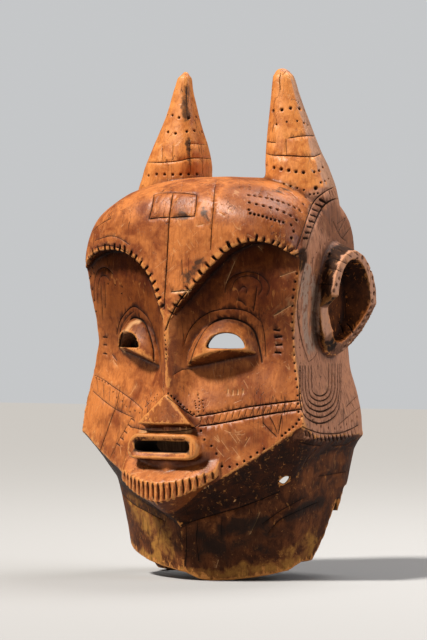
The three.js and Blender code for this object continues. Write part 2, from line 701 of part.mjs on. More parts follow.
// The origin is on the floor below the middle of the mask's own box
const middle = new THREE.Box3().setFromObject(maskMesh).getCenter(new THREE.Vector3());
maskMesh.position.set(-middle.x, -middle.y, 0);

const part = new THREE.Group();
part.add(maskMesh);

export default part;
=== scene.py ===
import math

import bmesh
import bpy
import numpy as np
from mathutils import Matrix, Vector, noise
from mathutils.bvhtree import BVHTree
from mathutils.kdtree import KDTree


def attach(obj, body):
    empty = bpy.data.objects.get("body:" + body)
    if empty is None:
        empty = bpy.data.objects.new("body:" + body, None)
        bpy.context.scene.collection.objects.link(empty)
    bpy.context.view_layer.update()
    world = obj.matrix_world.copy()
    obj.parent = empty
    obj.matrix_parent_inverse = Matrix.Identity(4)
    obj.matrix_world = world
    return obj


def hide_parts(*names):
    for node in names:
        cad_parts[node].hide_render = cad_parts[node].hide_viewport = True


# Horned helmet mask carved from one block of wood: the fine carving, the wood and the studio.
# Metres in Blender. The carving is laid out in millimetres, face towards -Y, the mask's own left is +X.

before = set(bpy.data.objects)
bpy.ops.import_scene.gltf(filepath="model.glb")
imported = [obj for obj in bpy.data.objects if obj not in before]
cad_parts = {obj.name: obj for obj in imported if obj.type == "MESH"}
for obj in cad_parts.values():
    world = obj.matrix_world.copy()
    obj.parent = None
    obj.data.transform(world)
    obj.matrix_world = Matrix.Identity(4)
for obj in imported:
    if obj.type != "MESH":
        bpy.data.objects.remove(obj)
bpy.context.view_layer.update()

MM = 0.001
# The outline tables are drawn round the helmet's axis, which lies this far behind the frame's own
AXIS_Y = 9.366

# ---- Camera: the photograph's viewing angle ----
CAMERA_AZIMUTH = math.radians(32)
CAMERA_DISTANCE = 3600 * MM
CAMERA_HEIGHT = 283.8 * MM
PICTURE_WIDTH, PICTURE_HEIGHT = 427, 640
FOCAL_PIXELS = 3240
SENSOR = 36
AIM_LEFT = math.atan(11.5 / FOCAL_PIXELS)


def camera_directions():
    """Right, up and forward of the camera, turned a little to the left of the mask's axis."""
    s, c = math.sin(CAMERA_AZIMUTH), math.cos(CAMERA_AZIMUTH)
    forward = Vector((-s, c, 0)) * math.cos(AIM_LEFT) - Vector((c, s, 0)) * math.sin(AIM_LEFT)
    up = Vector((0, 0, 1))
    return forward.cross(up), up, forward


RIGHT, UP, FORWARD = camera_directions()
CAMERA_PLACE = Vector((
    math.sin(CAMERA_AZIMUTH) * CAMERA_DISTANCE,
    -math.cos(CAMERA_AZIMUTH) * CAMERA_DISTANCE + AXIS_Y * MM,
    CAMERA_HEIGHT,
))


def set_camera():
    data = bpy.data.cameras.new("portrait_camera")
    data.sensor_width = SENSOR
    data.lens = FOCAL_PIXELS / PICTURE_HEIGHT * SENSOR
    camera = bpy.data.objects.new("portrait_camera", data)
    bpy.context.scene.collection.objects.link(camera)
    camera.location = CAMERA_PLACE
    camera.rotation_euler = FORWARD.to_track_quat("-Z", "Y").to_euler()
    bpy.context.scene.camera = camera


def sight(u, v):
    """Direction from the camera through one point of the picture."""
    across = (u - PICTURE_WIDTH / 2) / FOCAL_PIXELS
    rise = (PICTURE_HEIGHT / 2 - v) / FOCAL_PIXELS
    return (FORWARD + RIGHT * across + UP * rise).normalized()


set_camera()

# ---- Helmet form: the same named values as the solid ----
# Level, half width at the face's border, border, median line and roundness of the section
BORDER = np.array([
    (80, 134, -76, -119, 1.1), (120, 143, -74, -120, 1.05), (165, 144, -71, -118, 1),
    (200, 138.5, -68, -117, 1), (232, 131, -65, -119, 1), (264, 126.5, -63, -121, 1.05),
    (300, 131, -66, -121, 1.5), (330, 137, -68, -118, 1.8), (356, 138, -65, -115, 2.15),
    (378, 134, -52, -114, 2.6), (396, 127, -34, -111, 2.9), (410, 118, -16, -106, 2.7),
    (422, 105, -6, -98, 2.4), (432, 86, -2, -80, 2.2), (442, 28, 0, -26, 2),
], float)
LEFT_BROW = np.array([
    (2, 278), (8, 289), (15, 300), (22, 309), (30, 318), (38, 327), (47, 337), (58, 347), (70, 359),
    (86, 366), (101, 368), (115, 365), (127, 359), (135, 352), (141, 343),
], float)
RIGHT_BROW = np.array([
    (3, 283), (8, 294), (12, 304), (16, 313), (20, 322), (26, 332), (34, 341), (46, 350), (60, 358),
    (80, 361), (100, 360), (115, 356), (127, 349), (136, 341), (141, 333),
], float)
# Where the notches stand along each brow, from the nose outwards
LEFT_NOTCHES = [
    0.07, 0.12, 0.18, 0.24, 0.3, 0.36, 0.42, 0.48, 0.54, 0.59, 0.65, 0.7, 0.74, 0.78, 0.82, 0.85, 0.88,
    0.91, 0.94,
]
RIGHT_NOTCHES = [
    0.08, 0.13, 0.18, 0.23, 0.28, 0.33, 0.38, 0.43, 0.47, 0.52, 0.56, 0.6, 0.64, 0.68, 0.74, 0.8, 0.86,
    0.92,
]
CHIN = {"x": -3.5, "half_width": 61, "low_z": 88, "curve": 1.6, "beard": 20, "flutes": 17}
# Rise of the beard's lower edge at its ends, and its height there, on the mask's left and right
CHIN_ENDS = {1: (26, 7), -1: (20.5, 12)}
MOUTH = {"x": (-38.5, 33.5), "z": (140.5, 153.5), "y": (-129, -60)}
# Horns: level, centre out from the middle and radius; their centres lie on HORN_Y
LEFT_HORN = np.array([
    (372, 86, 40), (405, 84.5, 42.5), (430, 83, 40), (447, 80.5, 36.3), (469, 75.4, 30.7),
    (492, 71.6, 25.3), (514, 68.8, 20), (535, 66, 15.2), (547, 64.5, 12.8), (556, 62.5, 9.4),
    (560, 61.5, 5.5),
], float)
RIGHT_HORN = np.array([
    (372, 86, 40), (405, 84, 43), (430, 81.5, 41), (447, 78.3, 37.8), (460, 75.2, 34.8), (480, 72, 29),
    (500, 70, 21.8), (521, 68.4, 15.6), (543, 67.5, 10.2), (556, 65.5, 7), (563, 64, 3.4),
], float)
HORN_Y = np.array([27, 26, 25, 24, 22.5, 21.5, 20.5, 20, 20, 20, 20], float)
HORN_SQUARENESS = 2.5
LEFT_HORN_TURN = 0.44
# Jaw edge: height below the middle of the face, and its rise to the corners of the jaw
CHIN_Z, LEFT_JAW_RISE, RIGHT_JAW_RISE, JAW_CURVE, JAW_HALF_WIDTH = 90, 80, 70, 1.4, 140
EAR_FLOOR = {"x": 127, "y": 17, "z": 303, "half_y": 25, "half_z": 40}
EAR_MOUTH = {"x": 158, "y": 18, "z": 302, "half_y": 36.5, "half_z": 49}
KEEL = {"x": -3, "half_width": 16, "height": 2.8, "low": (2, 20), "high": (84, 92), "rear_y": -60}
# Levels where the crown is smoothed freely, the horns' foot, their tips and how far the tips are raised
CROWN = (437 * MM, 450 * MM)
HORN_FOOT = (443, 444, 458)
HORN_TIPS = {1: 560, -1: 563}
TIP_RISE = 2.4
# The room inside, and the point on its axis that its walls look to
ROOM = {"half_width": 128 * MM, "top": 425 * MM, "axis_y": 8, "eye_level": 360 * MM}
EAR_RIM_X, EAR_RIM_Z, EAR_RIM_LEAN = 156, 302, 0.48

VOXEL = 1.4 * MM
TRIANGLES = 196000
SHARP_ANGLE = math.radians(31)

# ---- Carving, read off the picture: (width, depth in millimetres, points of the picture) ----
# Lines that the solid has too: its own grooves are smoothed away before these are cut
FOREHEAD_LINES = [
    (2.0, 1.9, [
        (172.8, 193.5), (171, 205), (169.2, 219), (167.7, 245), (166.4, 269), (165, 289), (164, 309),
    ]),
    (1.5, 1.1, [(153.5, 195), (160, 193.2), (172.6, 192.8), (185, 193.3), (197.2, 194.8)]),
    (1.5, 1.1, [(154, 195), (151.8, 208), (149, 218.6)]),
    (1.5, 1.1, [(149, 219), (158, 217.9), (169.6, 217.2)]),
    (1.5, 1.1, [(170.4, 217.8), (182, 216.8), (194.6, 216.2)]),
    (1.5, 1.1, [(196.6, 195), (196, 205), (194.6, 216)]),
]
LEFT_BAND_TOP = [(196, 416.6), (210, 414.4), (230, 410.6), (250, 406.8), (270, 404), (299, 400.6)]
LEFT_BAND_LOW = [(199, 426.4), (214, 424.4), (230, 421.6), (250, 417.6), (270, 414), (290, 411), (301, 409.4)]
RIGHT_BAND_TOP = [(94.6, 375), (104, 380), (113, 386.5), (124, 394), (136, 403), (142, 409)]
RIGHT_BAND_LOW = [(93, 391), (99, 396.5), (108, 404), (118, 410.5), (134, 418)]
BAND_LINES = [
    (2.0, 1.7, LEFT_BAND_TOP),
    (2.0, 1.7, LEFT_BAND_LOW),
    (1.2, 0.6, RIGHT_BAND_TOP),
    (1.2, 0.6, RIGHT_BAND_LOW),
]
# Lines that are on the wood alone
FACE_LINES = [
    # cracks of the forehead
    (1.1, 1.3, [(217.4, 176.5), (214.6, 190), (213.6, 205), (212.2, 221), (211.2, 236), (210.6, 250)]),
    (0.8, 0.5, [(167, 182), (164.6, 187), (162.4, 192)]),
    (0.8, 0.5, [(184, 178), (182.6, 184), (181.4, 191)]),
    (0.8, 0.4, [(239.6, 177), (239.4, 182), (240, 188)]),
    (1.0, 0.8, [(92, 232), (97, 227), (104, 222), (111, 218.5)]),
    (0.8, 0.5, [(262, 187), (258, 197)]),
    (0.8, 0.5, [(272, 188), (279, 192), (284, 194)]),
    (0.8, 0.6, [(285, 189), (291, 193), (297, 199)]),
    (0.8, 0.5, [(266, 193), (273, 196)]),
    # brow borders
    (1.2, 0.8, [(95, 248), (103, 245.8), (110, 245.8), (118, 248), (127, 252.5), (135, 259), (142, 267)]),
    (1.0, 0.6, [(95, 240.5), (104, 237.5), (111, 236), (118, 237.6), (124, 241), (130, 245)]),
    (1.2, 0.8, [(148.5, 276), (151.5, 285), (154, 294), (157, 301), (159.5, 311), (163, 321)]),
    # bridge of the nose
    (2.4, 2.6, [(186, 292.5), (178, 303), (172, 314), (165.4, 330)]),
    (1.4, 1.2, [(171, 292), (181, 291), (192, 290.5)]),
    # right socket
    (1.1, 0.8, [(94.6, 301), (94, 290), (95, 279), (97.6, 271), (103, 267.6), (108, 269), (113, 274.5)]),
    (1.0, 0.7, [(98, 304), (98, 288), (99.6, 279), (103, 275.6), (107, 277), (110, 281)]),
    (1.0, 0.7, [(101, 284), (101.4, 296), (102.6, 310), (103, 320)]),
    (0.9, 0.5, [(104.6, 282), (105.6, 296), (105.6, 308)]),
    # left socket
    (1.0, 0.6, [
        (225, 293), (227, 283), (234, 275.6), (246, 272), (258, 274), (266.6, 281), (269.6, 289),
        (266.6, 296),
    ]),
    (0.9, 0.5, [
        (231.6, 290), (235, 281), (243, 276.4), (253, 277), (260, 282), (262, 289), (258.6, 295),
    ]),
    (1.2, 0.9, [(257, 287), (255.6, 298), (253.6, 311)]),
    (1.2, 0.6, [(237, 300), (242, 302), (246, 306)]),
    (1.0, 0.5, [(239, 291), (243, 287), (247, 289), (246, 294)]),
    # rings round the eyes
    (1.1, 0.8, [
        (117, 335), (119, 325), (123.4, 315.6), (133, 306.8), (142, 311.6), (149, 320), (154, 332),
        (156.6, 344),
    ]),
    (0.9, 0.5, [(119.6, 336), (122, 326), (127, 317.6), (134, 311.4)]),
    (1.1, 0.9, [
        (184, 345), (189, 331), (198, 319.6), (210, 312.4), (224, 309.2), (238, 309.4), (250, 313),
        (261.6, 322),
    ]),
    (1.1, 0.9, [(261.6, 322), (264.6, 336), (266, 357)]),
    (1.3, 1.0, [(187.6, 365), (192.6, 347), (202, 331.4)]),
    # foot of each eyelid
    (2.6, 1.5, [
        (190, 364), (193, 353), (198, 341), (205, 329.6), (214, 322), (226, 318.4), (238, 320.2), (248, 325),
        (255, 333), (259, 345), (261, 355), (262, 362),
    ]),
    (2.2, 1.3, [
        (119, 350), (122.6, 333), (127.6, 322.6), (135, 317.6), (144.6, 322.6), (150, 335), (153.6, 350),
        (154, 361),
    ]),
    # cheeks
    (1.5, 1.3, [(120, 387), (117, 403), (112, 417), (106, 434), (99, 454)]),
    (0.9, 0.6, [(131, 419), (126, 428), (119, 440), (110, 458)]),
    (0.8, 0.5, [(118, 433), (114, 455)]),
    (0.8, 0.5, [(172.6, 375.4), (182, 370), (192, 369)]),
    (1.3, 1.1, [(263, 423), (270, 430.6), (276.6, 437)]),
    (1.2, 1.0, [(270, 417.6), (274, 425), (277.4, 433.6)]),
    (1.2, 1.0, [(281.4, 416.6), (280, 425), (278.6, 434)]),
    (1.6, 1.3, [(167.6, 397), (176, 403.6), (186, 411.4), (193, 416)]),
    # mouth
    (1.2, 0.8, [(130, 427), (150, 431), (170, 431.5), (190, 429.5), (199, 424)]),
]
FACE_TICKS = [
    (2.4, 1.9, [(274, 330), (279.4, 331)]),
    (2.4, 1.9, [(275, 337.6), (282, 336.8)]),
    (2.4, 1.9, [(276, 345.4), (282, 344.8)]),
    (2.4, 1.9, [(275, 352.6), (281, 353)]),
    (1.5, 1.0, [(103, 337.4), (107.4, 337.6)]),
    (1.5, 1.0, [(103.4, 345), (107, 345.2)]),
    (1.5, 1.0, [(103, 353.6), (107, 354)]),
    (1.0, 0.7, [(112, 354), (117, 361)]),
    # notches of the brows that the solid is too coarse for
    (1.5, 1.2, [(288, 246), (287.4, 250.6)]),
    (1.4, 1.0, [(131, 418.6), (134.4, 421)]),
    (1.4, 1.0, [(127.6, 424.6), (131, 427)]),
    (1.4, 1.0, [(123.6, 431), (127, 433.6)]),
    (1.4, 1.0, [(120, 437.4), (123.4, 440)]),
    (1.4, 1.0, [(116.4, 443.6), (119.6, 446)]),
]
TEMPLE_LINES = [
    (1.6, 1.3, [(325, 191.6), (316, 199), (311.6, 206), (307.6, 217), (302.6, 232), (296.4, 249.6)]),
    (2.2, 1.8, [
        (344, 197.6), (333, 199.6), (324, 205.6), (317.4, 217), (311.6, 232), (306.6, 248), (303.4, 256),
    ]),
    (1.3, 1.0, [(325, 191.6), (332, 188), (338.4, 185.6), (340, 193)]),
]
# The two lines that the rungs of the ladder join
RUNG_IN = [(320, 199.6), (314, 206.6), (310, 218), (305.6, 232), (301.6, 244)]
RUNG_OUT = [(327, 203.4), (320, 209.6), (315, 219.6), (310, 232.4), (306.4, 243.6)]
# Loops, leaf and bands of the side panel
SIDE_LINES = [
    (2.2, 1.8, [
        (305.6, 262), (302.6, 275), (299.6, 290), (297.8, 303), (297.6, 314), (299, 327), (302, 342),
        (308.4, 361),
    ]),
    (0.9, 0.6, [(308.6, 362), (314, 357.6), (317.4, 352)]),
    (1.2, 0.8, [(333, 221), (337, 230), (341, 237), (346, 241)]),
    (1.1, 0.7, [(350, 209), (344, 221), (338, 233)]),
    (1.1, 0.7, [(354.6, 221), (348, 231), (342, 239)]),
    (1.1, 0.7, [(337, 224), (344, 219), (352, 213)]),
    (0.9, 0.5, [(357, 235), (352, 244)]),
    (1.1, 0.8, [(338.6, 425), (350, 415), (362, 405.4)]),
    (1.0, 0.7, [(346.6, 406.4), (354, 399), (361.4, 391.4)]),
    (0.9, 0.6, [(350.6, 402), (355, 409)]),
    (1.6, 1.2, [(302.6, 427), (310, 430), (322, 433.4), (338, 433.4), (350, 429.6), (358.4, 425)]),
    (1.5, 1.2, [(299, 442.4), (309, 445), (320, 446)]),
    (1.2, 0.8, [(331.6, 446.4), (344, 445), (354.6, 439.6)]),
]
# The loops: half width and lowest point of each
LOOP_TOP, LOOP_MIDDLE = 364, 320
LOOP_CUT = (2.1, 1.8)
SIDE_LOOPS = [(8.4, 396), (11.6, 401), (14.6, 406.4), (17.2, 411.6), (19, 417.4), (20.4, 423.4)]
EAR_LINES = [
    (1.0, 0.8, [(338, 249), (345, 252.6), (352, 257.6)]),
    (1.0, 0.7, [(347, 248), (353, 251), (358.4, 255.6)]),
    (1.0, 0.7, [(332, 258), (340, 260.6), (348, 264.6)]),
    (0.9, 0.6, [(327, 268), (336, 269.6), (342, 272)]),
    (1.1, 0.9, [(318.6, 284), (326, 284), (332.6, 285)]),
    (1.6, 1.6, [(338, 320), (341, 326), (343, 333)]),
    (1.6, 1.6, [(346, 323), (350, 327), (353, 333)]),
    (1.3, 1.3, [(334, 337), (340, 338), (345, 340)]),
]
HORN_LINES = [
    (0.9, 0.6, [(153, 142.4), (158.4, 142)]),
    (0.9, 0.7, [(188, 144), (198, 144), (208, 144.6)]),
    (1.3, 1.1, [(146, 162), (160, 162.4), (178, 161), (190, 158.4), (200, 158), (211, 158.4)]),
    (0.9, 0.6, [(173, 145), (172.6, 160)]),
    (0.8, 0.5, [(162.6, 146), (162, 161)]),
    (1.4, 1.2, [(267, 141.8), (275.4, 142.6)]),
    (1.5, 1.3, [(289, 138), (302, 136), (314.6, 135.6)]),
    (1.7, 1.5, [(264.4, 152.4), (272, 155), (290, 155.7), (312, 156.6), (320.6, 153.6)]),
    (0.9, 0.7, [(286, 138.6), (286.6, 155)]),
    (1.0, 0.8, [(281, 73), (279.6, 80), (280.6, 90)]),
    (0.9, 0.7, [(282.6, 75), (286, 71.6)]),
    (1.0, 0.8, [(187, 84), (186.6, 100), (187.6, 120)]),
    (0.8, 0.6, [(189.4, 140), (190, 156), (190.6, 172)]),
    (0.8, 0.5, [(201, 146), (202.4, 160), (202.6, 174)]),
]
COLLAR_LINES = [
    (1.2, 0.8, [(121, 492), (133, 504), (149, 513), (166, 522)]),
    (1.4, 1.0, [(180, 526), (198, 519.5), (220, 513), (238, 508), (260, 500), (280, 491.6)]),
    (1.2, 0.9, [(268, 533), (280, 520), (296, 512), (318, 502)]),
    (1.1, 0.8, [(262, 524), (282, 510), (304, 498)]),
    (1.0, 0.6, [(318, 476.5), (332, 474.4), (346, 472)]),
    (0.9, 0.6, [(301, 470), (309, 456), (316, 449)]),
    (0.9, 0.6, [(198, 520), (196.6, 540), (199, 562)]),
    (0.8, 0.5, [(222, 516), (221, 536)]),
    (0.9, 0.6, [(143, 516), (144, 534)]),
    (0.8, 0.5, [(160, 528), (158, 548)]),
    (1.0, 0.7, [(186, 524), (186.6, 545), (185.4, 566)]),
]
# Shallow scratches that show the bare wood
SCRATCHES = [
    (1.8, 0.9, [(228.2, 389.2), (227.8, 394)]),
    (1.8, 0.9, [(233, 390.6), (232.8, 395)]),
    (1.8, 0.9, [(238, 390), (237.8, 394.6)]),
    (1.8, 0.9, [(243.2, 389.6), (242.8, 393.6)]),
    (1.0, 0.35, [(234.8, 261.6), (226, 283)]),
    (1.0, 0.35, [(292, 305), (283, 310.6), (274, 316)]),
    (0.9, 0.3, [(296, 271), (280, 276.6)]),
    (1.0, 0.4, [(260, 512), (256, 522), (250, 534)]),
    (0.7, 0.25, [(216, 448), (224, 457)]),
    (0.7, 0.25, [(221, 440), (229, 451)]),
    (0.7, 0.25, [(229, 432), (237, 443)]),
    (0.7, 0.25, [(235, 434), (240, 441)]),
    (0.7, 0.25, [(244, 447), (250, 437)]),
    (0.7, 0.25, [(214, 436), (220, 442)]),
    (0.7, 0.25, [(232, 447), (239, 456)]),
    (0.7, 0.25, [(224, 430), (231, 433)]),
    (0.9, 0.3, [(216, 568), (218.4, 560)]),
    (0.9, 0.35, [(113, 360), (117, 366)]),
    (0.8, 0.3, [(130, 395), (137, 384)]),
    (0.9, 0.3, [(219, 212), (224, 216)]),
    (0.9, 0.3, [(197, 226), (204, 224.4)]),
    (0.8, 0.3, [(262, 250), (258, 246)]),
]
# Dots: (radius in millimetres, number, points of the row)
FACE_DOTS = [
    (1.5, 5, [(250, 180), (249.6, 189)]),
    (2.15, 10, [(249, 195), (259.4, 196.4), (273, 199.4), (286, 203.6), (300, 210)]),
    (2.15, 8, [(249.6, 202.4), (262.4, 205.6), (275.6, 209), (289.6, 215), (296.6, 220)]),
    (1.95, 10, [(249, 209.6), (250, 213), (261, 215.6), (271.4, 219), (283.6, 222.4)]),
    (2.0, 3, [(291.4, 225), (294, 230), (291.6, 238)]),
    (2.1, 3, [(306, 197.6), (304, 202.6), (300.6, 211)]),
    (1.38, 3, [(310, 194.6), (318, 193.4)]),
    (1.38, 4, [(284, 184), (304, 190)]),
    (1.5, 19, [
        (297, 274), (293.8, 290), (292.2, 307), (292.4, 325), (294, 347), (295, 369), (297, 386),
        (298, 404), (299, 420),
    ]),
    (1.62, 6, [(299, 420), (295, 425.6), (290.4, 429), (282, 436)]),
    (1.62, 7, [(264, 449), (256, 453.6), (243.6, 461.6), (230, 467), (222, 466.4)]),
    (1.5, 4, [(216.4, 454), (211, 445.4), (204.4, 439.4), (201, 431)]),
    (1.25, 9, [(168, 393.6), (177, 400.6), (185, 408), (194, 414.4)]),
    (1, 8, [(160, 392), (152, 400), (146, 406), (139.6, 413)]),
    (0.95, 6, [(198, 395), (199.4, 403), (198.6, 412)]),
    (0.95, 4, [(195, 401), (196, 408)]),
    (0.95, 4, [(202.6, 400.6), (203.6, 411)]),
    (1.25, 14, [(164, 331), (165.4, 343), (166, 356), (164.4, 369), (164, 380), (163.4, 392)]),
    (1.25, 3, [(84, 417), (82.6, 428)]),
    (1.25, 9, [(84, 440), (90, 448), (99, 455.6), (110, 465)]),
    (1.25, 6, [(86.4, 268), (90, 280), (93, 292), (95, 305), (97, 323)]),
    (1.12, 5, [(93, 258), (91, 264), (94, 272), (90.6, 277)]),
    (1.12, 4, [(108, 284), (122, 287), (121.6, 294)]),
    (1.12, 6, [(113, 392), (117, 398), (122, 401), (131, 413), (135, 411)]),
    (1.12, 5, [(96, 378), (108, 384)]),
]
SIDE_DOTS = [
    (1, 12, [(299.4, 340), (300.4, 360), (300, 385), (301.6, 410), (303, 424)]),
    (1.75, 5, [(307, 412), (311.6, 418), (315.6, 423), (321, 426.6)]),
    (1.5, 6, [(328.4, 428), (336, 428.6), (346, 425), (357, 417)]),
    (1.12, 6, [(311, 263), (317, 252), (322.6, 246), (329, 240)]),
    (1.25, 2, [(304.6, 273), (303.4, 280)]),
]
EAR_DOTS = [
    (2.1, 7, [
        (357.5, 259), (352, 262.5), (347.5, 267.5), (343, 274), (339, 279), (337, 284), (334, 291),
    ]),
    (2.5, 14, [
        (362.5, 257.5), (366, 261), (370, 268), (372, 275), (374, 284.5), (374, 294), (371, 306), (366, 318),
        (362.5, 322.5), (360, 327.5), (356, 332.5), (353, 338), (347.5, 342.5), (344.5, 347),
    ]),
]
HORN_DOTS = [
    (1.62, 2, [(167.4, 115), (172.4, 115.2)]),
    (1.75, 1, [(179, 117.6)]),
    (1.88, 2, [(189, 118), (196.4, 117)]),
    (1.88, 3, [(160.4, 131), (166, 131.6), (175.4, 133.4)]),
    (2, 3, [(187, 131.4), (195.6, 130.6), (202, 132)]),
    (1.88, 8, [
        (140.4, 175.6), (151, 175.4), (158.6, 174), (168, 174.6), (180, 174.4), (189, 174), (197, 174),
    ]),
    (2.25, 4, [(273, 111), (282.6, 109.6), (291.6, 108), (299.6, 108.6)]),
    (1.75, 1, [(304.4, 110.4)]),
    (1.38, 3, [(276.4, 124.4), (287.6, 121.6), (297.4, 121)]),
    (1.5, 2, [(304, 123), (308, 125)]),
    (2.25, 6, [(266.6, 165.6), (272.6, 167.4), (281, 169), (289, 170.4), (296, 171.6), (303.6, 172.4)]),
    (1.75, 4, [(314.4, 172), (319.6, 170.4), (323, 167), (326.4, 163.6)]),
    (1.5, 4, [(321, 182.4), (325, 181), (328.6, 178.4), (331.6, 175.6)]),
    (2.75, 1, [(316, 188)]),
]
# Colour laid on the wood, with painted highlights and a painted shadow among it where marked: (radius in
# millimetres, strength, points)
STAINS = [
    (7, 0.55, [(176, 213), (186, 214)]),
    (4, 0.6, [(205, 212), (207, 220)]),
    (9, 0.8, [(200, 536), (212, 545), (222, 552)]),
    (8, 0.8, [(224, 530), (242, 526), (262, 522)]),
    (6, 0.75, [(256, 548), (272, 552)]),
    (8, 0.8, [(290, 516), (306, 508), (322, 501)]),
    (10, 0.6, [(190, 540), (196, 556)]),
    (8, 0.5, [(226, 560), (246, 540), (286, 532)]),
    (6, 0.6, [(186, 90), (187, 120)]),
    (3, 0.6, [(188, 140), (190, 176)]),
    (5, 0.7, [(184, 280), (192, 271), (200, 262)]),
    (5, 0.45, [(300, 186), (276, 192)]),
]
BARE_WOOD_AND_HIGHLIGHTS = [
    (3, 0.9, [(173, 293), (190, 290.6)]),
    (3, 0.5, [(236, 500), (233, 506)]),
    (5, 0.5, [(188, 72), (182, 82)]),
    (6, 0.6, [(279, 72), (286, 74), (280, 82)]),
    (4, 0.35, [(174, 180), (200, 180), (230, 184)]),
    (4, 0.45, [(118, 226), (140, 222)]),
    (2.5, 0.7, [(158, 413), (160, 408)]),
    (2.5, 0.7, [(171, 412), (175, 417)]),
    # painted highlight on the left eyelid's lit edge, on worn wood
    (4, 0.45, [(190, 362), (196, 346)]),
    (3.5, 0.6, [(83, 437), (94, 450), (108, 463), (122, 476), (134, 486)]),
    (2.2, 0.5, [(224, 478), (240, 469.6), (262, 457), (285, 441.6), (299, 430)]),
    (2.2, 0.6, [(149, 408), (152, 416)]),
    (2.5, 0.6, [(177, 526), (180, 536), (182.6, 548)]),
    # painted highlight along the top of the upper lip, on worn wood
    (4.5, 0.85, [(137, 433), (150, 432), (172, 432), (190, 431)]),
    (3.5, 0.5, [(128, 450), (145, 457), (172, 458), (196, 452)]),
    (3, 0.5, [(124, 474), (136, 488), (152, 497), (176, 500), (200, 493), (214, 480)]),
    # painted highlight on the right eyelid, lightening it where the brow's shade falls
    (6, 0.85, [(123, 350), (125, 335), (131, 324), (138, 322)]),
]
GREY_LEAF = [
    (3.5, 1.0, [(306.6, 266), (303.4, 280), (302, 295)]),
    (5.5, 1.0, [(309, 270), (306.6, 290), (305, 310), (305.6, 330), (309, 350)]),
    (6.5, 1.0, [(313, 282), (315, 300), (315, 325), (312, 346)]),
]
# Darker patches of the wood; the run beside the ear is painted shadow
DARKER_WOOD_AND_SHADOW = [
    (27, 1.0, [(250, 194), (272, 210), (290, 228)]),
    (12, 0.6, [(164, 404), (156, 418), (172, 419)]),
    (16, 0.5, [(215, 440), (250, 440), (285, 418)]),
    (12, 0.55, [(283, 300), (286, 340), (284, 380)]),
    (10, 0.45, [(205, 375), (235, 372), (262, 376)]),
    (14, 0.45, [(150, 470), (185, 470)]),
    (10, 0.6, [(112, 250), (96, 262)]),
    (22, 0.9, [(322, 216), (338, 226), (350, 240)]),
    # painted shadow beside the ear, with dirt there as well
    (7, 1.0, [(319, 258), (316, 275), (315, 300), (316, 330)]),
    (9, 1.0, [(338, 249), (329, 256), (323, 268), (321, 284)]),
    (18, 0.5, [(225, 400), (280, 392)]),
    (9, 0.35, [(222, 232), (206, 246), (190, 268)]),
]
GOLDEN_RIM = [
    (5, 0.9, [(131, 543), (145, 556), (171, 568.6), (188, 572)]),
    (6, 0.9, [(188, 572), (215, 575.4), (240, 573.6)]),
    (9, 0.9, [(240, 572.6), (270, 569), (296, 561), (308, 551)]),
    (12, 0.55, [(250, 567), (276, 562), (300, 550), (314, 538)]),
    (20, 0.75, [(136, 504), (154, 526), (162, 548)]),
]


# ---- Number helpers ----
def ramp(value, low, high):
    t = np.clip((value - low) / (high - low), 0, 1)
    return t * t * (3 - 2 * t)


def read_table(table, z):
    """Columns of a table at many levels, on a smooth curve through its rows."""
    levels = table[:, 0]
    z = np.clip(z, levels[0], levels[-1])
    i = np.clip(np.searchsorted(levels, z) - 1, 0, len(levels) - 2)
    before, after = np.maximum(i - 1, 0), np.minimum(i + 2, len(levels) - 1)
    span = levels[i + 1] - levels[i]
    t = (z - levels[i]) / span
    columns = []
    for k in range(1, table.shape[1]):
        a, b = table[i, k], table[i + 1, k]
        slope_a = span * (b - table[before, k]) / (levels[i + 1] - levels[before])
        slope_b = span * (table[after, k] - a) / (levels[after] - levels[i])
        columns.append(
            (2 * t**3 - 3 * t**2 + 1) * a + (t**3 - 2 * t**2 + t) * slope_a
            + (3 * t**2 - 2 * t**3) * b + (t**3 - t**2) * slope_b
        )
    return columns


def curved(points, spacing):
    """A smooth run through picture points, as points that lie about one spacing apart."""
    if len(points) == 1:
        return list(points)
    ends = [points[0], *points, points[-1]]
    out = []
    for p0, p1, p2, p3 in zip(ends, ends[1:], ends[2:], ends[3:]):
        count = max(1, round(math.dist(p1, p2) / spacing))
        for step in range(count):
            t = step / count
            out.append(tuple(
                0.5 * (
                    2 * b + (c - a) * t + (2 * a - 5 * b + 4 * c - d) * t * t
                    + (3 * b - a - 3 * c + d) * t**3
                )
                for a, b, c, d in zip(p0, p1, p2, p3)
            ))
    out.append(points[-1])
    return out


def spread(points, count):
    """Points at equal distances along a run of picture points."""
    if count == 1:
        return [points[0]]
    run = curved(points, 0.5)
    length = [0.0]
    for a, b in zip(run, run[1:]):
        length.append(length[-1] + math.dist(a, b))
    shares = np.linspace(0, length[-1], count)
    us = np.interp(shares, length, [p[0] for p in run])
    vs = np.interp(shares, length, [p[1] for p in run])
    return list(zip(us, vs))


def towards(point, other, share):
    return tuple(p + share * (q - p) for p, q in zip(point, other))


def between(line_a, line_b, count, lean=0.0, cut=(1.4, 1.0)):
    """Ticks that join two lines, lean shifts their far ends along by a share of the pitch."""
    a, b = spread(line_a, count + 1), spread(line_b, count + 1)
    return [(*cut, [a[i], towards(b[i], b[i + 1], lean)]) for i in range(count)]


# ---- The block: a fine even skin on the solid's form ----
def merged_block():
    """The solid's own mesh, welded, as a new bmesh."""
    block = bmesh.new()
    block.from_mesh(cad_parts["helmet_mask"].data)
    bmesh.ops.remove_doubles(block, verts=block.verts, dist=1e-6)
    block.normal_update()
    return block


def balanced(points):
    tree = KDTree(len(points))
    for i, point in enumerate(points):
        tree.insert(point, i)
    tree.balance()
    return tree


def sharp_lines(block):
    """Points along the solid's sharp edges, which keep their form when the faceting is smoothed away."""
    points = []
    for edge in block.edges:
        if edge.calc_face_angle(0) < SHARP_ANGLE:
            continue
        a, b = (v.co for v in edge.verts)
        steps = max(1, round((b - a).length / (2 * MM)))
        points += [a.lerp(b, i / steps) for i in range(steps + 1)]
    return balanced(points)


def linked(name, mesh):
    piece = bpy.data.objects.new(name, mesh)
    bpy.context.scene.collection.objects.link(piece)
    return piece


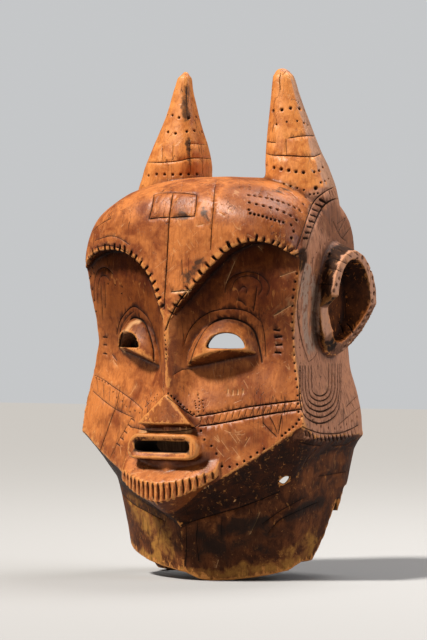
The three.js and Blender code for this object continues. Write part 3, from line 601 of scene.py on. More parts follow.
def finished(mesh, kind, **settings):
    """The mesh after one modifier."""
    piece = linked("blank", mesh)
    modifier = piece.modifiers.new("step", kind)
    for key, value in settings.items():
        setattr(modifier, key, value)
    graph = bpy.context.evaluated_depsgraph_get()
    result = bpy.data.meshes.new_from_object(piece.evaluated_get(graph))
    bpy.data.objects.remove(piece)
    bpy.data.meshes.remove(mesh)
    return result


def tree_of(mesh):
    shape = bmesh.new()
    shape.from_mesh(mesh)
    tree = BVHTree.FromBMesh(shape)
    shape.free()
    return tree


def read_out(elements, key, width, kind=float):
    """One property of all points or edges of a mesh, as rows of numbers."""
    values = np.empty(len(elements) * width, kind)
    elements.foreach_get(key, values)
    return values.reshape(-1, width)


def points_of(mesh):
    return read_out(mesh.vertices, "co", 3)


def normals_of(mesh):
    return read_out(mesh.vertices, "normal", 3)


def edges_of(mesh):
    return read_out(mesh.edges, "vertices", 2, np.int32)


def put_points(mesh, points):
    mesh.vertices.foreach_set("co", points.ravel())
    mesh.update()


def put_layer(mesh, name, values):
    """A value on every point of the skin, which the wood's finish reads by name."""
    layer = mesh.attributes.get(name) or mesh.attributes.new(name, "FLOAT", "POINT")
    layer.data.foreach_set("value", np.clip(values, 0, 1).astype(np.float32))


def relaxed(points, edges, weight, rounds):
    """Moves each point towards the middle of its neighbours, as far as its weight says."""
    count = len(points)
    a, b = edges[:, 0], edges[:, 1]
    links = np.bincount(edges.ravel(), minlength=count)
    points = points.copy()
    for _ in range(rounds):
        for axis in range(points.shape[1]):
            value = points[:, axis]
            total = np.bincount(a, value[b], count) + np.bincount(b, value[a], count)
            points[:, axis] = value + weight * (total / links - value)
    return points


def cast(points, tree):
    """Where picture points lie on the wood."""
    places = [tree.ray_cast(CAMERA_PLACE, sight(u, v))[0] for u, v in points]
    return [place for place in places if place is not None]


def smooth_facets(mesh, sharp, lines):
    """Rounds the solid's flats off, and leaves its sharp lines alone, apart from those cut again."""
    points = points_of(mesh)
    distance = np.array([sharp.find(p)[2] for p in points])
    to_line = np.array([lines.find(p)[2] for p in points])
    weight = ramp(distance, 2 * MM, 9 * MM)
    weight = np.maximum(weight, ramp(points[:, 2], *CROWN))
    weight = np.maximum(weight, 1 - ramp(to_line, 3 * MM, 4.5 * MM))
    edges = edges_of(mesh)
    points = relaxed(points, edges, 0.7 * weight, 40)
    points = relaxed(points, edges, np.full(len(points), 0.3), 1)
    put_points(mesh, points)


def horn_frame(points, side):
    """Direction and distance from a horn's axis, its radius that way, and where its axis lies."""
    table, turn = (LEFT_HORN, LEFT_HORN_TURN) if side > 0 else (RIGHT_HORN, 0)
    table = np.column_stack([table, HORN_Y])
    x, y, z = points[:, 0] / MM, points[:, 1] / MM - AXIS_Y, points[:, 2] / MM
    middle_x, radius, middle_y = read_table(table, z)
    across, along = x - side * middle_x, y - middle_y
    angle = np.arctan2(along, across)
    turned = angle - side * turn
    square = np.abs(np.cos(turned)) ** HORN_SQUARENESS + np.abs(np.sin(turned)) ** HORN_SQUARENESS
    radius = radius / square ** (1 / HORN_SQUARENESS)
    return angle, np.hypot(across, along), radius, side * middle_x, middle_y


def shape_horns(mesh):
    """Brings the horns' flanks back to their drawn section, with blunt, uneven tips."""
    points = points_of(mesh)
    z = points[:, 2] / MM
    for side in (1, -1):
        chosen = np.nonzero((z > HORN_FOOT[0]) & (side * points[:, 0] > 20 * MM))[0]
        own = points[chosen]
        angle, distance, radius, middle_x, middle_y = horn_frame(own, side)
        level = own[:, 2] / MM
        tip = HORN_TIPS[side]
        weight = ramp(level, *HORN_FOOT[1:]) * (1 - ramp(level, tip - 9, tip - 5))
        target_x = middle_x + radius * np.cos(angle)
        target_y = middle_y + radius * np.sin(angle) + AXIS_Y
        target = np.column_stack([target_x, target_y]) * MM
        own[:, :2] += weight[:, None] * (target - own[:, :2])
        own[:, 2] += TIP_RISE * MM * ramp(level, tip - 16, tip - 4)
        points[chosen] = own
    put_points(mesh, points)


def raise_keel(mesh, within):
    """A low ridge down the front of the collar."""
    points = points_of(mesh)
    x, z = points[:, 0] / MM, points[:, 2] / MM
    height = KEEL["height"] * np.maximum(0, 1 - np.abs(x - KEEL["x"]) / KEEL["half_width"])
    height *= ramp(z, *KEEL["low"]) * (1 - ramp(z, *KEEL["high"])) * (1 - within)
    height *= points[:, 1] < KEEL["rear_y"] * MM
    points[:, 1] -= height * MM
    put_points(mesh, points)


def hand_marks(mesh, within):
    """Soft unevenness left by the adze and knife: broad flats outside, gouge hollows inside."""
    points, normals = points_of(mesh), normals_of(mesh)
    shift = np.empty(len(points))
    for i, (x, y, z) in enumerate(points):
        flats = noise.noise((x * 48, y * 48, z * 30))
        if within[i] > 0.5:
            gouge = noise.noise((x * 60 + 7, y * 60, z * 22))
            shift[i] = 0.5 * flats - 1.1 * abs(gouge)
        else:
            knife = noise.noise((x * 190, y * 190, z * 120))
            shift[i] = 0.45 * flats + 0.16 * knife
    floor = ramp(points[:, 2], 0.5 * MM, 4 * MM)
    put_points(mesh, points + normals * (shift * floor * MM)[:, None])


def inside_share(mesh, tree):
    """1 on the walls of the hollow, found by looking from just off the wood to the helmet's axis."""
    within = np.zeros(len(mesh.vertices))
    points, normals = points_of(mesh), normals_of(mesh)
    for i, (point, normal) in enumerate(zip(points, normals)):
        if abs(point[0]) > ROOM["half_width"] or point[2] > ROOM["top"]:
            continue
        start = Vector(point + normal * 1.5 * MM)
        goal = Vector((0, (ROOM["axis_y"] + AXIS_Y) * MM, min(point[2], ROOM["eye_level"])))
        way = goal - start
        if way.dot(Vector(normal)) < 0:
            continue
        if tree.ray_cast(start, way.normalized(), way.length)[0] is None:
            within[i] = 1
    return within


# ---- Carving ----
# The raised lip of a cut: how far it reaches, in radii of the cut, and its height as a share of the depth
LIP_REACH, LIP_HEIGHT = 1.7, 0.06
# Darkness of what is cut, painted shade in the grooves, notches, flutes and dots, and how much fainter it is
# on the side that doesn't show
DARK_LINE, DARK_DOT, DARK_NOTCH, DARK_FLUTE, BARE_CUT = 1.0, 1.1, 0.8, 0.6, 0.0
FAINTER = 0.8


def loop_lines():
    """Nested loops below the ear."""
    lines = []
    for half, low in SIDE_LOOPS:
        turn = low - half * 1.1
        halfway = (LOOP_TOP + turn) / 2
        # Shares of the half width either way, and the height of each point
        path = [
            (-1, LOOP_TOP + 2), (-1, halfway), (-0.97, turn), (-0.7, low - half * 0.32), (0.5 / half, low),
            (0.75, low - half * 0.36), (1, turn - 1), (1.02, halfway), (1.05, LOOP_TOP),
        ]
        lines.append((*LOOP_CUT, [(LOOP_MIDDLE + half * share, v) for share, v in path]))
    return lines


def slanted(top, low, count, lean, cut):
    """Parallel strokes across a band, which stop short of its two lines."""
    a, b = spread(top, count + 1), spread(low, count + 1)
    lines = []
    for i in range(count):
        near = towards(a[i], a[i + 1], lean)
        lines.append((*cut, [towards(near, b[i], share) for share in (0.16, 0.84)]))
    return lines


def from_the_front(points):
    """Where points of X and Z, in millimetres, lie on the front of the wood."""
    before = (AXIS_Y - 200) * MM
    starts = [Vector((x * MM, before, z * MM)) for x, z in points]
    places = [skin_tree.ray_cast(start, Vector((0, 1, 0)))[0] for start in starts]
    return [place for place in places if place is not None]


def brow_notches(side, brow, places):
    """Notches square to the arch, from just below its edge to the top of the brow band."""
    steps = np.hypot(*np.diff(brow, axis=0).T)
    length = np.concatenate([[0], np.cumsum(steps)])
    cuts = []
    for share in places:
        at = share * length[-1]
        x, z = np.interp(at, length, brow[:, 0]), np.interp(at, length, brow[:, 1])
        ahead = np.interp(at + 2, length, brow[:, 0]), np.interp(at + 2, length, brow[:, 1])
        run_x, run_z = np.array(ahead) - (x, z)
        size = math.hypot(run_x, run_z) or 1
        wide = (1.0 + 0.5 * noise.noise((at, side, 0.5))) * (1 - 0.2 * ramp(share, 0.6, 0.9))
        lean = 0.35 * noise.noise((at * 0.3, side, 4.5))
        line = [
            (side * (x + (lean * run_x - run_z) / size * up), z + (run_x + lean * run_z) / size * up)
            for up in np.linspace(-0.5, 5.2 * wide, 20)
        ]
        cuts += stroke(from_the_front(line), 1.3 * wide, 1.9 * wide, DARK_NOTCH)
    return cuts


def beard_flutes():
    """The gaps between the ridges of the beard."""
    cuts = []
    steps = 2 * CHIN["flutes"] + 1
    for flute in range(CHIN["flutes"]):
        across = 2 * (2 * flute + 2) / steps - 1
        rise, end_beard = CHIN_ENDS[1 if across > 0 else -1]
        bend = abs(across) ** CHIN["curve"]
        low = CHIN["low_z"] + rise * bend
        top = CHIN["beard"] + (end_beard - CHIN["beard"]) * bend
        top += 2.0 * noise.noise((flute * 1.7, 0.3, 0.9))
        x = CHIN["x"] + CHIN["half_width"] * across
        line = [(x, low + up) for up in np.linspace(1.5, top, 34)]
        radius = 1.4 + 0.5 * noise.noise((flute * 2.3, 5, 1))
        cuts += stroke(from_the_front(line), radius, 1.7, DARK_FLUTE)
    return cuts


def all_cuts():
    """Every groove, scratch and dot as (place, radius, depth, darkness), plainer on the hidden side."""
    comb_top = [(305, 431), (320, 434.6), (338, 434.6), (350, 431), (358, 426.6)]
    comb_low = [(305, 436), (320, 440.6), (338, 440.6), (350, 436.6), (358, 432)]
    crest_low = [(329, 191.4), (333, 190), (337.6, 187)]
    crest_high = [(331, 197), (335.4, 195), (339.4, 192.6)]
    face = FOREHEAD_LINES + BAND_LINES + FACE_LINES + FACE_TICKS + TEMPLE_LINES + HORN_LINES + COLLAR_LINES
    face += slanted(LEFT_BAND_TOP, LEFT_BAND_LOW, 16, 1.0, (0.9, 0.55))
    face += slanted(RIGHT_BAND_TOP, RIGHT_BAND_LOW, 7, -0.8, (0.8, 0.4))
    face += between(crest_low, crest_high, 4, 0, (1.3, 1.0))
    side = SIDE_LINES + loop_lines() + EAR_LINES + between(comb_top, comb_low, 14, 0.3, (1.8, 1.3))
    side += between(RUNG_IN, RUNG_OUT, 8, 0, (3.2, 2.2))
    cuts = []
    for lines, hidden in ((face, False), (side, True)):
        for width, depth, points in lines:
            run = cast(curved(points, 0.3), skin_tree)
            cuts += stroke(run, width / 2, depth, DARK_LINE)
            if hidden:
                cuts += stroke(opposite(run), width / 2, FAINTER * depth, FAINTER * DARK_LINE)
    for width, depth, points in SCRATCHES:
        cuts += stroke(cast(curved(points, 0.3), skin_tree), width / 2, depth, BARE_CUT)
    for rows, hidden in ((FACE_DOTS + HORN_DOTS, False), (SIDE_DOTS + EAR_DOTS, True)):
        for radius, count, points in rows:
            run = cast(spread(points, count), skin_tree)
            cuts += [(place, radius * MM, 1.3 * radius * MM, DARK_DOT) for place in run]
            if hidden:
                cuts += [(place, radius * MM, radius * MM, 0.9) for place in opposite(run)]
    cuts += brow_notches(1, LEFT_BROW, LEFT_NOTCHES) + brow_notches(-1, RIGHT_BROW, RIGHT_NOTCHES)
    return cuts + beard_flutes()


def opposite(run):
    """The same run on the other side of the median plane."""
    return [skin_tree.find_nearest(Vector((-p.x, p.y, p.z)))[0] for p in run]


def stroke(run, radius, depth, darkness):
    """Cuts along a run: uneven in depth as a hand leaves them, and fading at both ends."""
    if len(run) < 2:
        return []
    total = len(run) - 1
    cuts = []
    last = None
    for i, place in enumerate(run):
        if last is not None and (place - last).length < 0.3 * MM and i < total:
            continue
        last = place
        fade = min(1.0, 0.45 + 3.5 * min(i, total - i) / total)
        waver = 1 + 0.28 * noise.noise(place * 120)
        cuts.append((place, radius * (0.75 + 0.25 * fade) * waver * MM, depth * fade * waver * MM, darkness))
    return cuts


def refined(mesh, cuts, rounds):
    """Divides the skin finely where something is cut."""
    tree = balanced([cut[0] for cut in cuts])
    reach = [cut[1] for cut in cuts]
    for turn in range(rounds):
        margin = (1.3 - 0.5 * turn) * MM
        near = np.zeros(len(mesh.vertices), bool)
        for i, point in enumerate(points_of(mesh)):
            _, index, distance = tree.find(point)
            near[i] = distance < reach[index] + margin
        edges = edges_of(mesh)
        chosen = np.nonzero(near[edges[:, 0]] & near[edges[:, 1]])[0]
        shape = bmesh.new()
        shape.from_mesh(mesh)
        shape.edges.ensure_lookup_table()
        bmesh.ops.subdivide_edges(shape, edges=[shape.edges[i] for i in chosen], cuts=1, use_grid_fill=True)
        shape.to_mesh(mesh)
        shape.free()
    return mesh


def carve(mesh, cuts):
    """Pushes the cuts into the skin, each with a faint raised lip, and keeps how dark they are painted, as
    shade in the cuts.
    """
    points, normals = points_of(mesh), normals_of(mesh)
    tree = balanced(points)
    depth, dark, fresh = np.zeros(len(points)), np.zeros(len(points)), np.zeros(len(points))
    for place, radius, deep, darkness in cuts:
        for _, i, distance in tree.find_range(place, radius * LIP_REACH):
            t = distance / radius
            lip = -LIP_HEIGHT * deep * (LIP_REACH - t) / (LIP_REACH - 1)
            push = deep * (1 - t * t) if t < 1 else lip
            if push > depth[i] or (depth[i] <= 0 and push < depth[i]):
                depth[i] = push
            if t < 1.1:
                dark[i] = max(dark[i], darkness * (1.1 - t))
                if darkness == BARE_CUT:
                    fresh[i] = max(fresh[i], 1.1 - t)
    put_points(mesh, points - normals * depth[:, None])
    put_layer(mesh, "cut", 1.6 * dark)
    put_layer(mesh, "fresh", 1.4 * fresh)


def painted(mesh, layers):
    """Soft patches of colour, laid along runs of picture points."""
    tree = balanced(points_of(mesh))
    out = np.zeros(len(mesh.vertices))
    for radius, strength, points in layers:
        reach = radius * 1.5 * MM
        for place in cast(curved(points, 2.0), skin_tree):
            for _, i, distance in tree.find_range(place, reach):
                out[i] = max(out[i], strength * (1 - (distance / reach) ** 2))
    return out


# Levels and depths, in millimetres, between which one tone of the wood gives way to the next
CROWN_FADE = {"width": 26, "levels": (418, 436)}
COLLAR_TOP, COLLAR_FADE, COLLAR_FADE_Y = 157, 14, (30, 80)
HORN_ROOT = (424, 434)
WALL = {"depth": (0.7, 1.8), "above_arch": 8, "levels": (280, 292)}
SOCKET_LEVELS = (215, 305)
# How far the left and the right eyelid stand out of the sockets' shade
LID_LIT = (0.2, 1.0)
EAR_LEVELS = (222, 232, 372, 382)
EAR_ROOT_X = 134
NOTCH_Y, NOTCH_LEVELS = (-48, -44, -3, 1), (258, 264, 308, 314)


def window(value, low, low_full, high_full, high):
    """1 between the two middle values, fading to 0 at the outer ones."""
    return ramp(value, low, low_full) * (1 - ramp(value, high_full, high))


def horn_shares(points, normals, z):
    """Shares of the horns, and of their flat outer flanks."""
    horn, flank = np.zeros(len(z)), np.zeros(len(z))
    for side in (1, -1):
        _, distance, radius, _, _ = horn_frame(points, side)
        own = ramp(z, *HORN_ROOT) * (1 - ramp(distance / radius, 1.06, 1.14))
        outward = normals[:, 0] * side * math.cos(LEFT_HORN_TURN) + normals[:, 1] * math.sin(LEFT_HORN_TURN)
        horn = np.maximum(horn, own)
        flank = np.maximum(flank, own * ramp(outward, 0.45, 0.75))
    return horn, flank


def collar_share(x, y, z, border_y):
    """The collar below the jaw's edge; behind, where nothing is carved at the jaw, it fades in."""
    rise = np.where(x > 0, LEFT_JAW_RISE, RIGHT_JAW_RISE)
    jaw = CHIN_Z + rise * np.minimum(1, np.abs(x) / JAW_HALF_WIDTH) ** JAW_CURVE
    jaw = np.where(y > border_y, COLLAR_TOP, jaw)
    fade = COLLAR_FADE * ramp(y, *COLLAR_FADE_Y)
    return ramp(jaw - z, -1 - fade, 3 + fade) * ramp(y, -112, -106)


def socket_share(x, y, z, section):
    """The shade below the brows: the wall under a brow lies behind the face's own surface."""
    half_width, border_y, median_y, roundness = section
    out = np.abs(x)
    arches = [np.interp(out, brow[:, 0], brow[:, 1]) for brow in (LEFT_BROW, RIGHT_BROW)]
    arch = np.where(x > 0, *arches)
    angle = np.arcsin(np.clip(out / half_width, 0, 1) ** (roundness / 2))
    face_y = border_y + (median_y - border_y) * np.maximum(0, np.cos(angle)) ** (2 / roundness)
    wall = ramp(y - face_y, *WALL["depth"]) * ramp(z, *WALL["levels"])
    wall *= ramp(arch + WALL["above_arch"] - z, 0, 2)
    shade = np.maximum(ramp(arch - z, 1, 5), wall) * ramp(z, *SOCKET_LEVELS)
    shade *= (1 - 0.35 * ramp(out, 100, 128)) * ramp(out, 3, 12)
    lid = 1 - ramp(y - face_y, -5, 1)
    return shade * (1 - lid * np.where(x > 0, *LID_LIT))


def ear_shares(x, y, z, outward, section):
    """Shares of the ears, their bowls, their dotted rims and the pale step in front: bare wood, with painted
    light on its outward face.
    """
    half_width, border_y, _, _ = section
    out = np.abs(x)
    root = np.minimum(half_width, EAR_ROOT_X)
    ear = ramp(out, root + 2, root + 4) * window(z, *EAR_LEVELS)
    share = (out - EAR_FLOOR["x"]) / (EAR_MOUTH["x"] - EAR_FLOOR["x"])
    half_y, half_z = (
        np.maximum(1, EAR_FLOOR[key] + share * (EAR_MOUTH[key] - EAR_FLOOR[key]))
        for key in ("half_y", "half_z")
    )
    oval = np.hypot((y - EAR_MOUTH["y"]) / half_y, (z - EAR_MOUTH["z"]) / half_z)
    bowl = (1 - ramp(oval, 1.0, 1.05)) * window(out, 122, 125, 152, 156) * ramp(y, border_y, border_y + 4)
    ear = np.maximum(ear, bowl)
    rim_x = EAR_RIM_X + EAR_RIM_LEAN * np.minimum(0, z - EAR_RIM_Z)
    rim = ear * ramp(out, rim_x - 3.5, rim_x - 1.5) * ramp(oval, 0.97, 1.03)
    rim *= np.maximum(ramp(z, 294, 297), ramp(y, 12, 16))
    # The step's outward face: fresh wood, painted pale as painted light from the side
    notch = ear * ramp(outward, 0.5, 0.75) * window(y, *NOTCH_Y) * window(z, *NOTCH_LEVELS)
    notch *= 1 - ramp(out, 143, 146)
    return {"ear": ear, "bowl": bowl, "rim": rim, "notch": notch}


def lay_out_regions(mesh):
    """Shares of the head's side, sockets, horns, ears and collar on every point."""
    points, normals = points_of(mesh), normals_of(mesh)
    x, y, z = points[:, 0] / MM, points[:, 1] / MM - AXIS_Y, points[:, 2] / MM
    section = read_table(BORDER, z)
    border_y = section[1]
    # On the crown no edge parts the front from the rear, so the tone of the sides fades in
    fade = CROWN_FADE["width"] * ramp(z, *CROWN_FADE["levels"])
    side = ramp(y - border_y, -1.5 - fade, 1 + fade)
    horn, flank = horn_shares(points, normals, z)
    collar = collar_share(x, y, z, border_y)
    (left_x, right_x), (low_z, high_z), (front_y, rear_y) = MOUTH["x"], MOUTH["z"], MOUTH["y"]
    # The mouth slot's walls, which are painted in shade below
    slot = (x > left_x) * (x < right_x) * (z > low_z) * (z < high_z) * (y < rear_y)
    shares = {
        "side": side * (1 - horn) * (1 - collar),
        "horn": horn,
        "flank": flank,
        "collar": collar,
        "socket": socket_share(x, y, z, section) * (1 - side) * (1 - horn),
        "slot": slot * ramp(y, front_y, front_y + 3),
        # painted shade on faces turned down, with the darker unhandled wood there
        "underside": ramp(-normals[:, 2], 0.12, 0.5) * ramp(z, 30, 60) * (1 - horn),
        **ear_shares(x, y, z, normals[:, 0] * np.sign(x), section),
    }
    for name, values in shares.items():
        put_layer(mesh, name, values)


def find_edges_and_hollows(mesh):
    """How far each point stands out of, or lies under, the smoothed form around it."""
    points, normals, edges = points_of(mesh), normals_of(mesh), edges_of(mesh)
    near = relaxed(points, edges, np.full(len(points), 0.8), 8)
    far = relaxed(near, edges, np.full(len(points), 0.9), 50)
    proud = ((points - near) * normals).sum(1) / MM
    sunk = ((points - far) * normals).sum(1) / MM
    put_layer(mesh, "edge", ramp(proud, 0.18, 0.55))
    put_layer(mesh, "hollow", ramp(-sunk, 0.25, 2.2))


block = merged_block()
solid_tree = BVHTree.FromBMesh(block)
twice = FOREHEAD_LINES + BAND_LINES + between(RUNG_IN, RUNG_OUT, 8)
again = [place for _, _, points in twice for place in cast(curved(points, 0.8), solid_tree)]
raw_block = bpy.data.meshes.new("raw_block")
block.to_mesh(raw_block)
mask_mesh = finished(raw_block, "REMESH", mode="VOXEL", voxel_size=VOXEL)
smooth_facets(mask_mesh, sharp_lines(block), balanced(again))
shape_horns(mask_mesh)
within = inside_share(mask_mesh, solid_tree)
within = relaxed(within[:, None], edges_of(mask_mesh), np.full(len(within), 0.5), 4)[:, 0]
raise_keel(mask_mesh, within)
hand_marks(mask_mesh, within)
put_layer(mask_mesh, "within", within)
find_edges_and_hollows(mask_mesh)
skin_tree = tree_of(mask_mesh)
cuts = all_cuts()
mask_mesh = refined(mask_mesh, cuts, 2)
carve(mask_mesh, cuts)
full = sum(len(face.vertices) - 2 for face in mask_mesh.polygons)
mask_mesh = finished(mask_mesh, "DECIMATE", decimate_type="COLLAPSE", ratio=TRIANGLES / full)
lay_out_regions(mask_mesh)
for layer, patches in (
    ("stain", STAINS), ("bare_and_highlight", BARE_WOOD_AND_HIGHLIGHTS), ("leaf", GREY_LEAF), ("gold", GOLDEN_RIM), ("darker_wood_and_shadow", DARKER_WOOD_AND_SHADOW),
):
    put_layer(mask_mesh, layer, painted(mask_mesh, patches))
mask_mesh.polygons.foreach_set("use_smooth", [True] * len(mask_mesh.polygons))

mask = linked("carved_mask", mask_mesh)
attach(mask, "root")
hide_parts("helmet_mask")


# ---- The wood ----
def add_node(tree, kind, inputs=None, **settings):
    """A node with its settings, and with its inputs linked or set."""
    node = tree.nodes.new(kind)
    for key, value in settings.items():
        setattr(node, key, value)
    for key, value in (inputs or {}).items():
        if isinstance(value, bpy.types.NodeSocket):
            tree.links.new(value, node.inputs[key])
        else:
            node.inputs[key].default_value = value
    return node


def new_group(name, inputs, outputs):
    """An empty node group: inputs and outputs as (name, socket kind)."""
    group = bpy.data.node_groups.new(name, "ShaderNodeTree")
    for socket, kind in inputs:
        group.interface.new_socket(socket, in_out="INPUT", socket_type=kind)
    for socket, kind in outputs:
        group.interface.new_socket(socket, in_out="OUTPUT", socket_type=kind)
    return group, group.nodes.new("NodeGroupInput"), group.nodes.new("NodeGroupOutput")


def put_out(group, sink, **sockets):
    for name, socket in sockets.items():
        group.links.new(socket, sink.inputs[name.replace("_", " ")])


def maths(tree, operation, a, b, clamp=False):
    return add_node(tree, "ShaderNodeMath", {0: a, 1: b}, operation=operation, use_clamp=clamp).outputs[0]


def span(tree, value, low, high):
    """0 below low, 1 above high and smooth between."""
    inputs = {"Value": value, "From Min": low, "From Max": high}
    return add_node(tree, "ShaderNodeMapRange", inputs, interpolation_type="SMOOTHSTEP").outputs[0]


def across_grain(tree, place, turn):
    """The place drawn out along one slanting direction."""
    inputs = {"Vector": place, "Rotation": turn, "Scale": (1, 1, 26)}
    return add_node(tree, "ShaderNodeMapping", inputs, vector_type="TEXTURE").outputs[0]


def hairlines(tree, place, turn, scale, shift):
    """Short thin scratches that lie one way, here and there."""
    drawn = cloud(tree, across_grain(tree, place, turn), scale, 1, 0.5, shift=shift)
    from_line = maths(tree, "ABSOLUTE", maths(tree, "SUBTRACT", drawn, 0.5), 0.0)
    sparse = cloud(tree, place, 70, 2, 0.5, shift=shift)
    return maths(tree, "MULTIPLY", span(tree, from_line, 0.014, 0.004), span(tree, sparse, 0.56, 0.64))


def cloud(tree, place, scale, detail=3.0, roughness=0.55, stretch=None, twist=0.0, shift=(0, 0, 0)):
    """Noise at one scale, drawn out along the grain where stretch is given."""
    if stretch or any(shift):
        inputs = {"Vector": place, "Scale": stretch or (1, 1, 1), "Location": shift}
        place = add_node(tree, "ShaderNodeMapping", inputs).outputs[0]
    inputs = {"Vector": place, "Scale": scale, "Detail": detail, "Roughness": roughness, "Distortion": twist}
    return add_node(tree, "ShaderNodeTexNoise", inputs).outputs["Fac"]


def timber_grain_group():
    """Clouds and blotches of the old surface, streaks and fibres that run up the block, specks and wear."""
    names = ("Clouds", "Blotches", "Flecks", "Streaks", "Fibres", "Specks", "Scuffs", "Checks", "Scratches")
    masks = [(name, "NodeSocketFloat") for name in names]
    group, source, sink = new_group("timber_grain", [("Place", "NodeSocketVector")], masks)
    place = source.outputs["Place"]
    speck = cloud(group, place, 480, 2, 0.5)
    drawn = cloud(group, place, 110, 2, 0.5, stretch=(1, 1, 0.045), shift=(0.2, 0.7, 0.3))
    from_line = maths(group, "ABSOLUTE", maths(group, "SUBTRACT", drawn, 0.5), 0.0)
    check = span(group, from_line, 0.012, 0.003)
    sparse = cloud(group, place, 38, 2, 0.5, stretch=(1, 1, 0.5), shift=(0.9, 0.2, 0.1))
    scuff = cloud(group, place, 150, 3, 0.6, stretch=(1, 1, 0.35), twist=1.2, shift=(0.4, 0.1, 0.7))
    one_way = hairlines(group, place, (0.2, 0.9, 0.3), 95, (0.3, 0.5, 0.2))
    other_way = hairlines(group, place, (0.1, -0.6, -0.4), 80, (0.8, 0.1, 0.6))
    put_out(
        group, sink,
        Scratches=maths(group, "MAXIMUM", one_way, other_way),
        Clouds=cloud(group, place, 13, 4, 0.6, twist=0.8),
        Blotches=cloud(group, place, 62, 5, 0.65, twist=0.5),
        Flecks=cloud(group, place, 210, 4, 0.7, stretch=(1, 1, 0.6), twist=0.6),
        Streaks=cloud(group, place, 420, 4, 0.6, stretch=(1, 1, 0.09)),
        Fibres=cloud(group, place, 1100, 2, 0.55, stretch=(1, 1, 0.05)),
        Specks=span(group, speck, 0.66, 0.74),
        Scuffs=span(group, scuff, 0.62, 0.72),
        Checks=maths(group, "MULTIPLY", check, span(group, sparse, 0.52, 0.62)),
    )
    return group


def ragged_edge_group():
    """A soft share turned into a patch with an uneven edge."""
    group, source, sink = new_group(
        "ragged_edge",
        [("Share", "NodeSocketFloat"), ("Grain", "NodeSocketFloat"), ("Unevenness", "NodeSocketFloat")],
        [("Patch", "NodeSocketFloat")],
    )
    centred = maths(group, "SUBTRACT", source.outputs["Grain"], 0.5)
    swing = maths(group, "MULTIPLY", centred, source.outputs["Unevenness"])
    total = maths(group, "ADD", source.outputs["Share"], swing)
    present = span(group, source.outputs["Share"], 0.02, 0.12)
    put_out(group, sink, Patch=maths(group, "MULTIPLY", span(group, total, 0.25, 0.75), present))
    return group


TIMBER_GRAIN = timber_grain_group()
RAGGED_EDGE = ragged_edge_group()

# Tones of the wood, as linear colour
HONEY = (0.54, 0.175, 0.042)
RUSSET = (0.2, 0.045, 0.011)
SIDE_LIGHT = (0.55, 0.25, 0.14)
SIDE_DARK = (0.22, 0.088, 0.045)
EAR_LIGHT = (0.06, 0.024, 0.011)
EAR_DARK = (0.018, 0.0065, 0.003)
RIM_LIGHT = (0.55, 0.29, 0.19)
HORN_LIGHT = (0.68, 0.25, 0.062)
HORN_DARK = (0.44, 0.13, 0.028)
HORN_FLANK = (0.48, 0.28, 0.19)
COLLAR_LIGHT = (0.16, 0.05, 0.015)
COLLAR_DARK = (0.045, 0.013, 0.0045)
LEAF_GREY = (0.36, 0.25, 0.19)
GOLD = (0.32, 0.15, 0.032)
# Pale bare wood: for scratches and fresh cuts, and for painted highlights
BARE_AND_HIGHLIGHT_TONE = (0.78, 0.44, 0.2)
WORN = (0.66, 0.27, 0.07)
# Inside the helmet: raw wood, darkened as painted shade
INSIDE_RAW_WOOD_AND_SHADE = (0.16, 0.08, 0.04)
INSIDE_DARK_WOOD_AND_SHADE = (0.07, 0.032, 0.016)
# Near black: soot stains and specks, and painted shade in the mouth slot and the cuts
SOOT_AND_SHADE_BLACK = (0.010, 0.007, 0.006)
# Tints that the wood is multiplied by; those for the hollows, the sockets, the undersides and the shadow
# beside the ear are partly painted shade
# Darkening of hollows: dirt that sits in them, and painted shade
HOLLOW_DIRT_AND_SHADE = (0.2, 0.13, 0.09)
SOCKET_SHADE = (0.34, 0.27, 0.2)
DARKER_WOOD_AND_SHADOW_TINT = (0.45, 0.36, 0.28)
STREAK_TINT = (0.5, 0.40, 0.33)
FIBRE_TINT = (0.55, 0.45, 0.38)
CHECK_TINT = (0.12, 0.08, 0.06)
FLECK_TINT = (0.42, 0.3, 0.24)
# Painted shade on the undersides, with their darker unhandled patina
UNDERSIDE_SHADE_AND_PATINA = (0.2, 0.14, 0.1)
BOWL_TINT = (1.5, 1.05, 0.6)


class Finish:
    """Builds one material: a wood colour with layers laid over it."""

    def __init__(self, name):
        self.material = bpy.data.materials.new(name)
        self.material.use_nodes = True
        self.tree = self.material.node_tree
        self.shader = self.tree.nodes["Principled BSDF"]
        place = add_node(self.tree, "ShaderNodeTexCoord").outputs["Object"]
        grain = add_node(self.tree, "ShaderNodeGroup", node_tree=TIMBER_GRAIN)
        self.tree.links.new(place, grain.inputs["Place"])
        self.grain = grain.outputs
        self.colour = None

    def share(self, name):
        """A value laid out on the skin."""
        return add_node(self.tree, "ShaderNodeAttribute", attribute_name=name).outputs["Fac"]

    def patch(self, name, grain="Blotches", unevenness=1.0):
        node = add_node(self.tree, "ShaderNodeGroup", node_tree=RAGGED_EDGE)
        self.tree.links.new(self.share(name), node.inputs["Share"])
        self.tree.links.new(self.grain[grain], node.inputs["Grain"])
        node.inputs["Unevenness"].default_value = unevenness
        return node.outputs["Patch"]

    def mixed(self, mask, below, above, blend="MIX"):
        def value(colour):
            return colour if isinstance(colour, bpy.types.NodeSocket) else (*colour, 1)
        inputs = {0: mask, 6: value(below), 7: value(above)}
        return add_node(self.tree, "ShaderNodeMix", inputs, data_type="RGBA", blend_type=blend).outputs[2]

    def lay(self, mask, tone, blend="MIX", strength=1.0):
        if strength < 1.0:
            mask = maths(self.tree, "MULTIPLY", mask, strength)
        self.colour = self.mixed(mask, self.colour, tone, blend)

    def varied(self, dark, light, low=0.36, high=0.64, grain="Blotches"):
        return self.mixed(span(self.tree, self.grain[grain], low, high), dark, light)


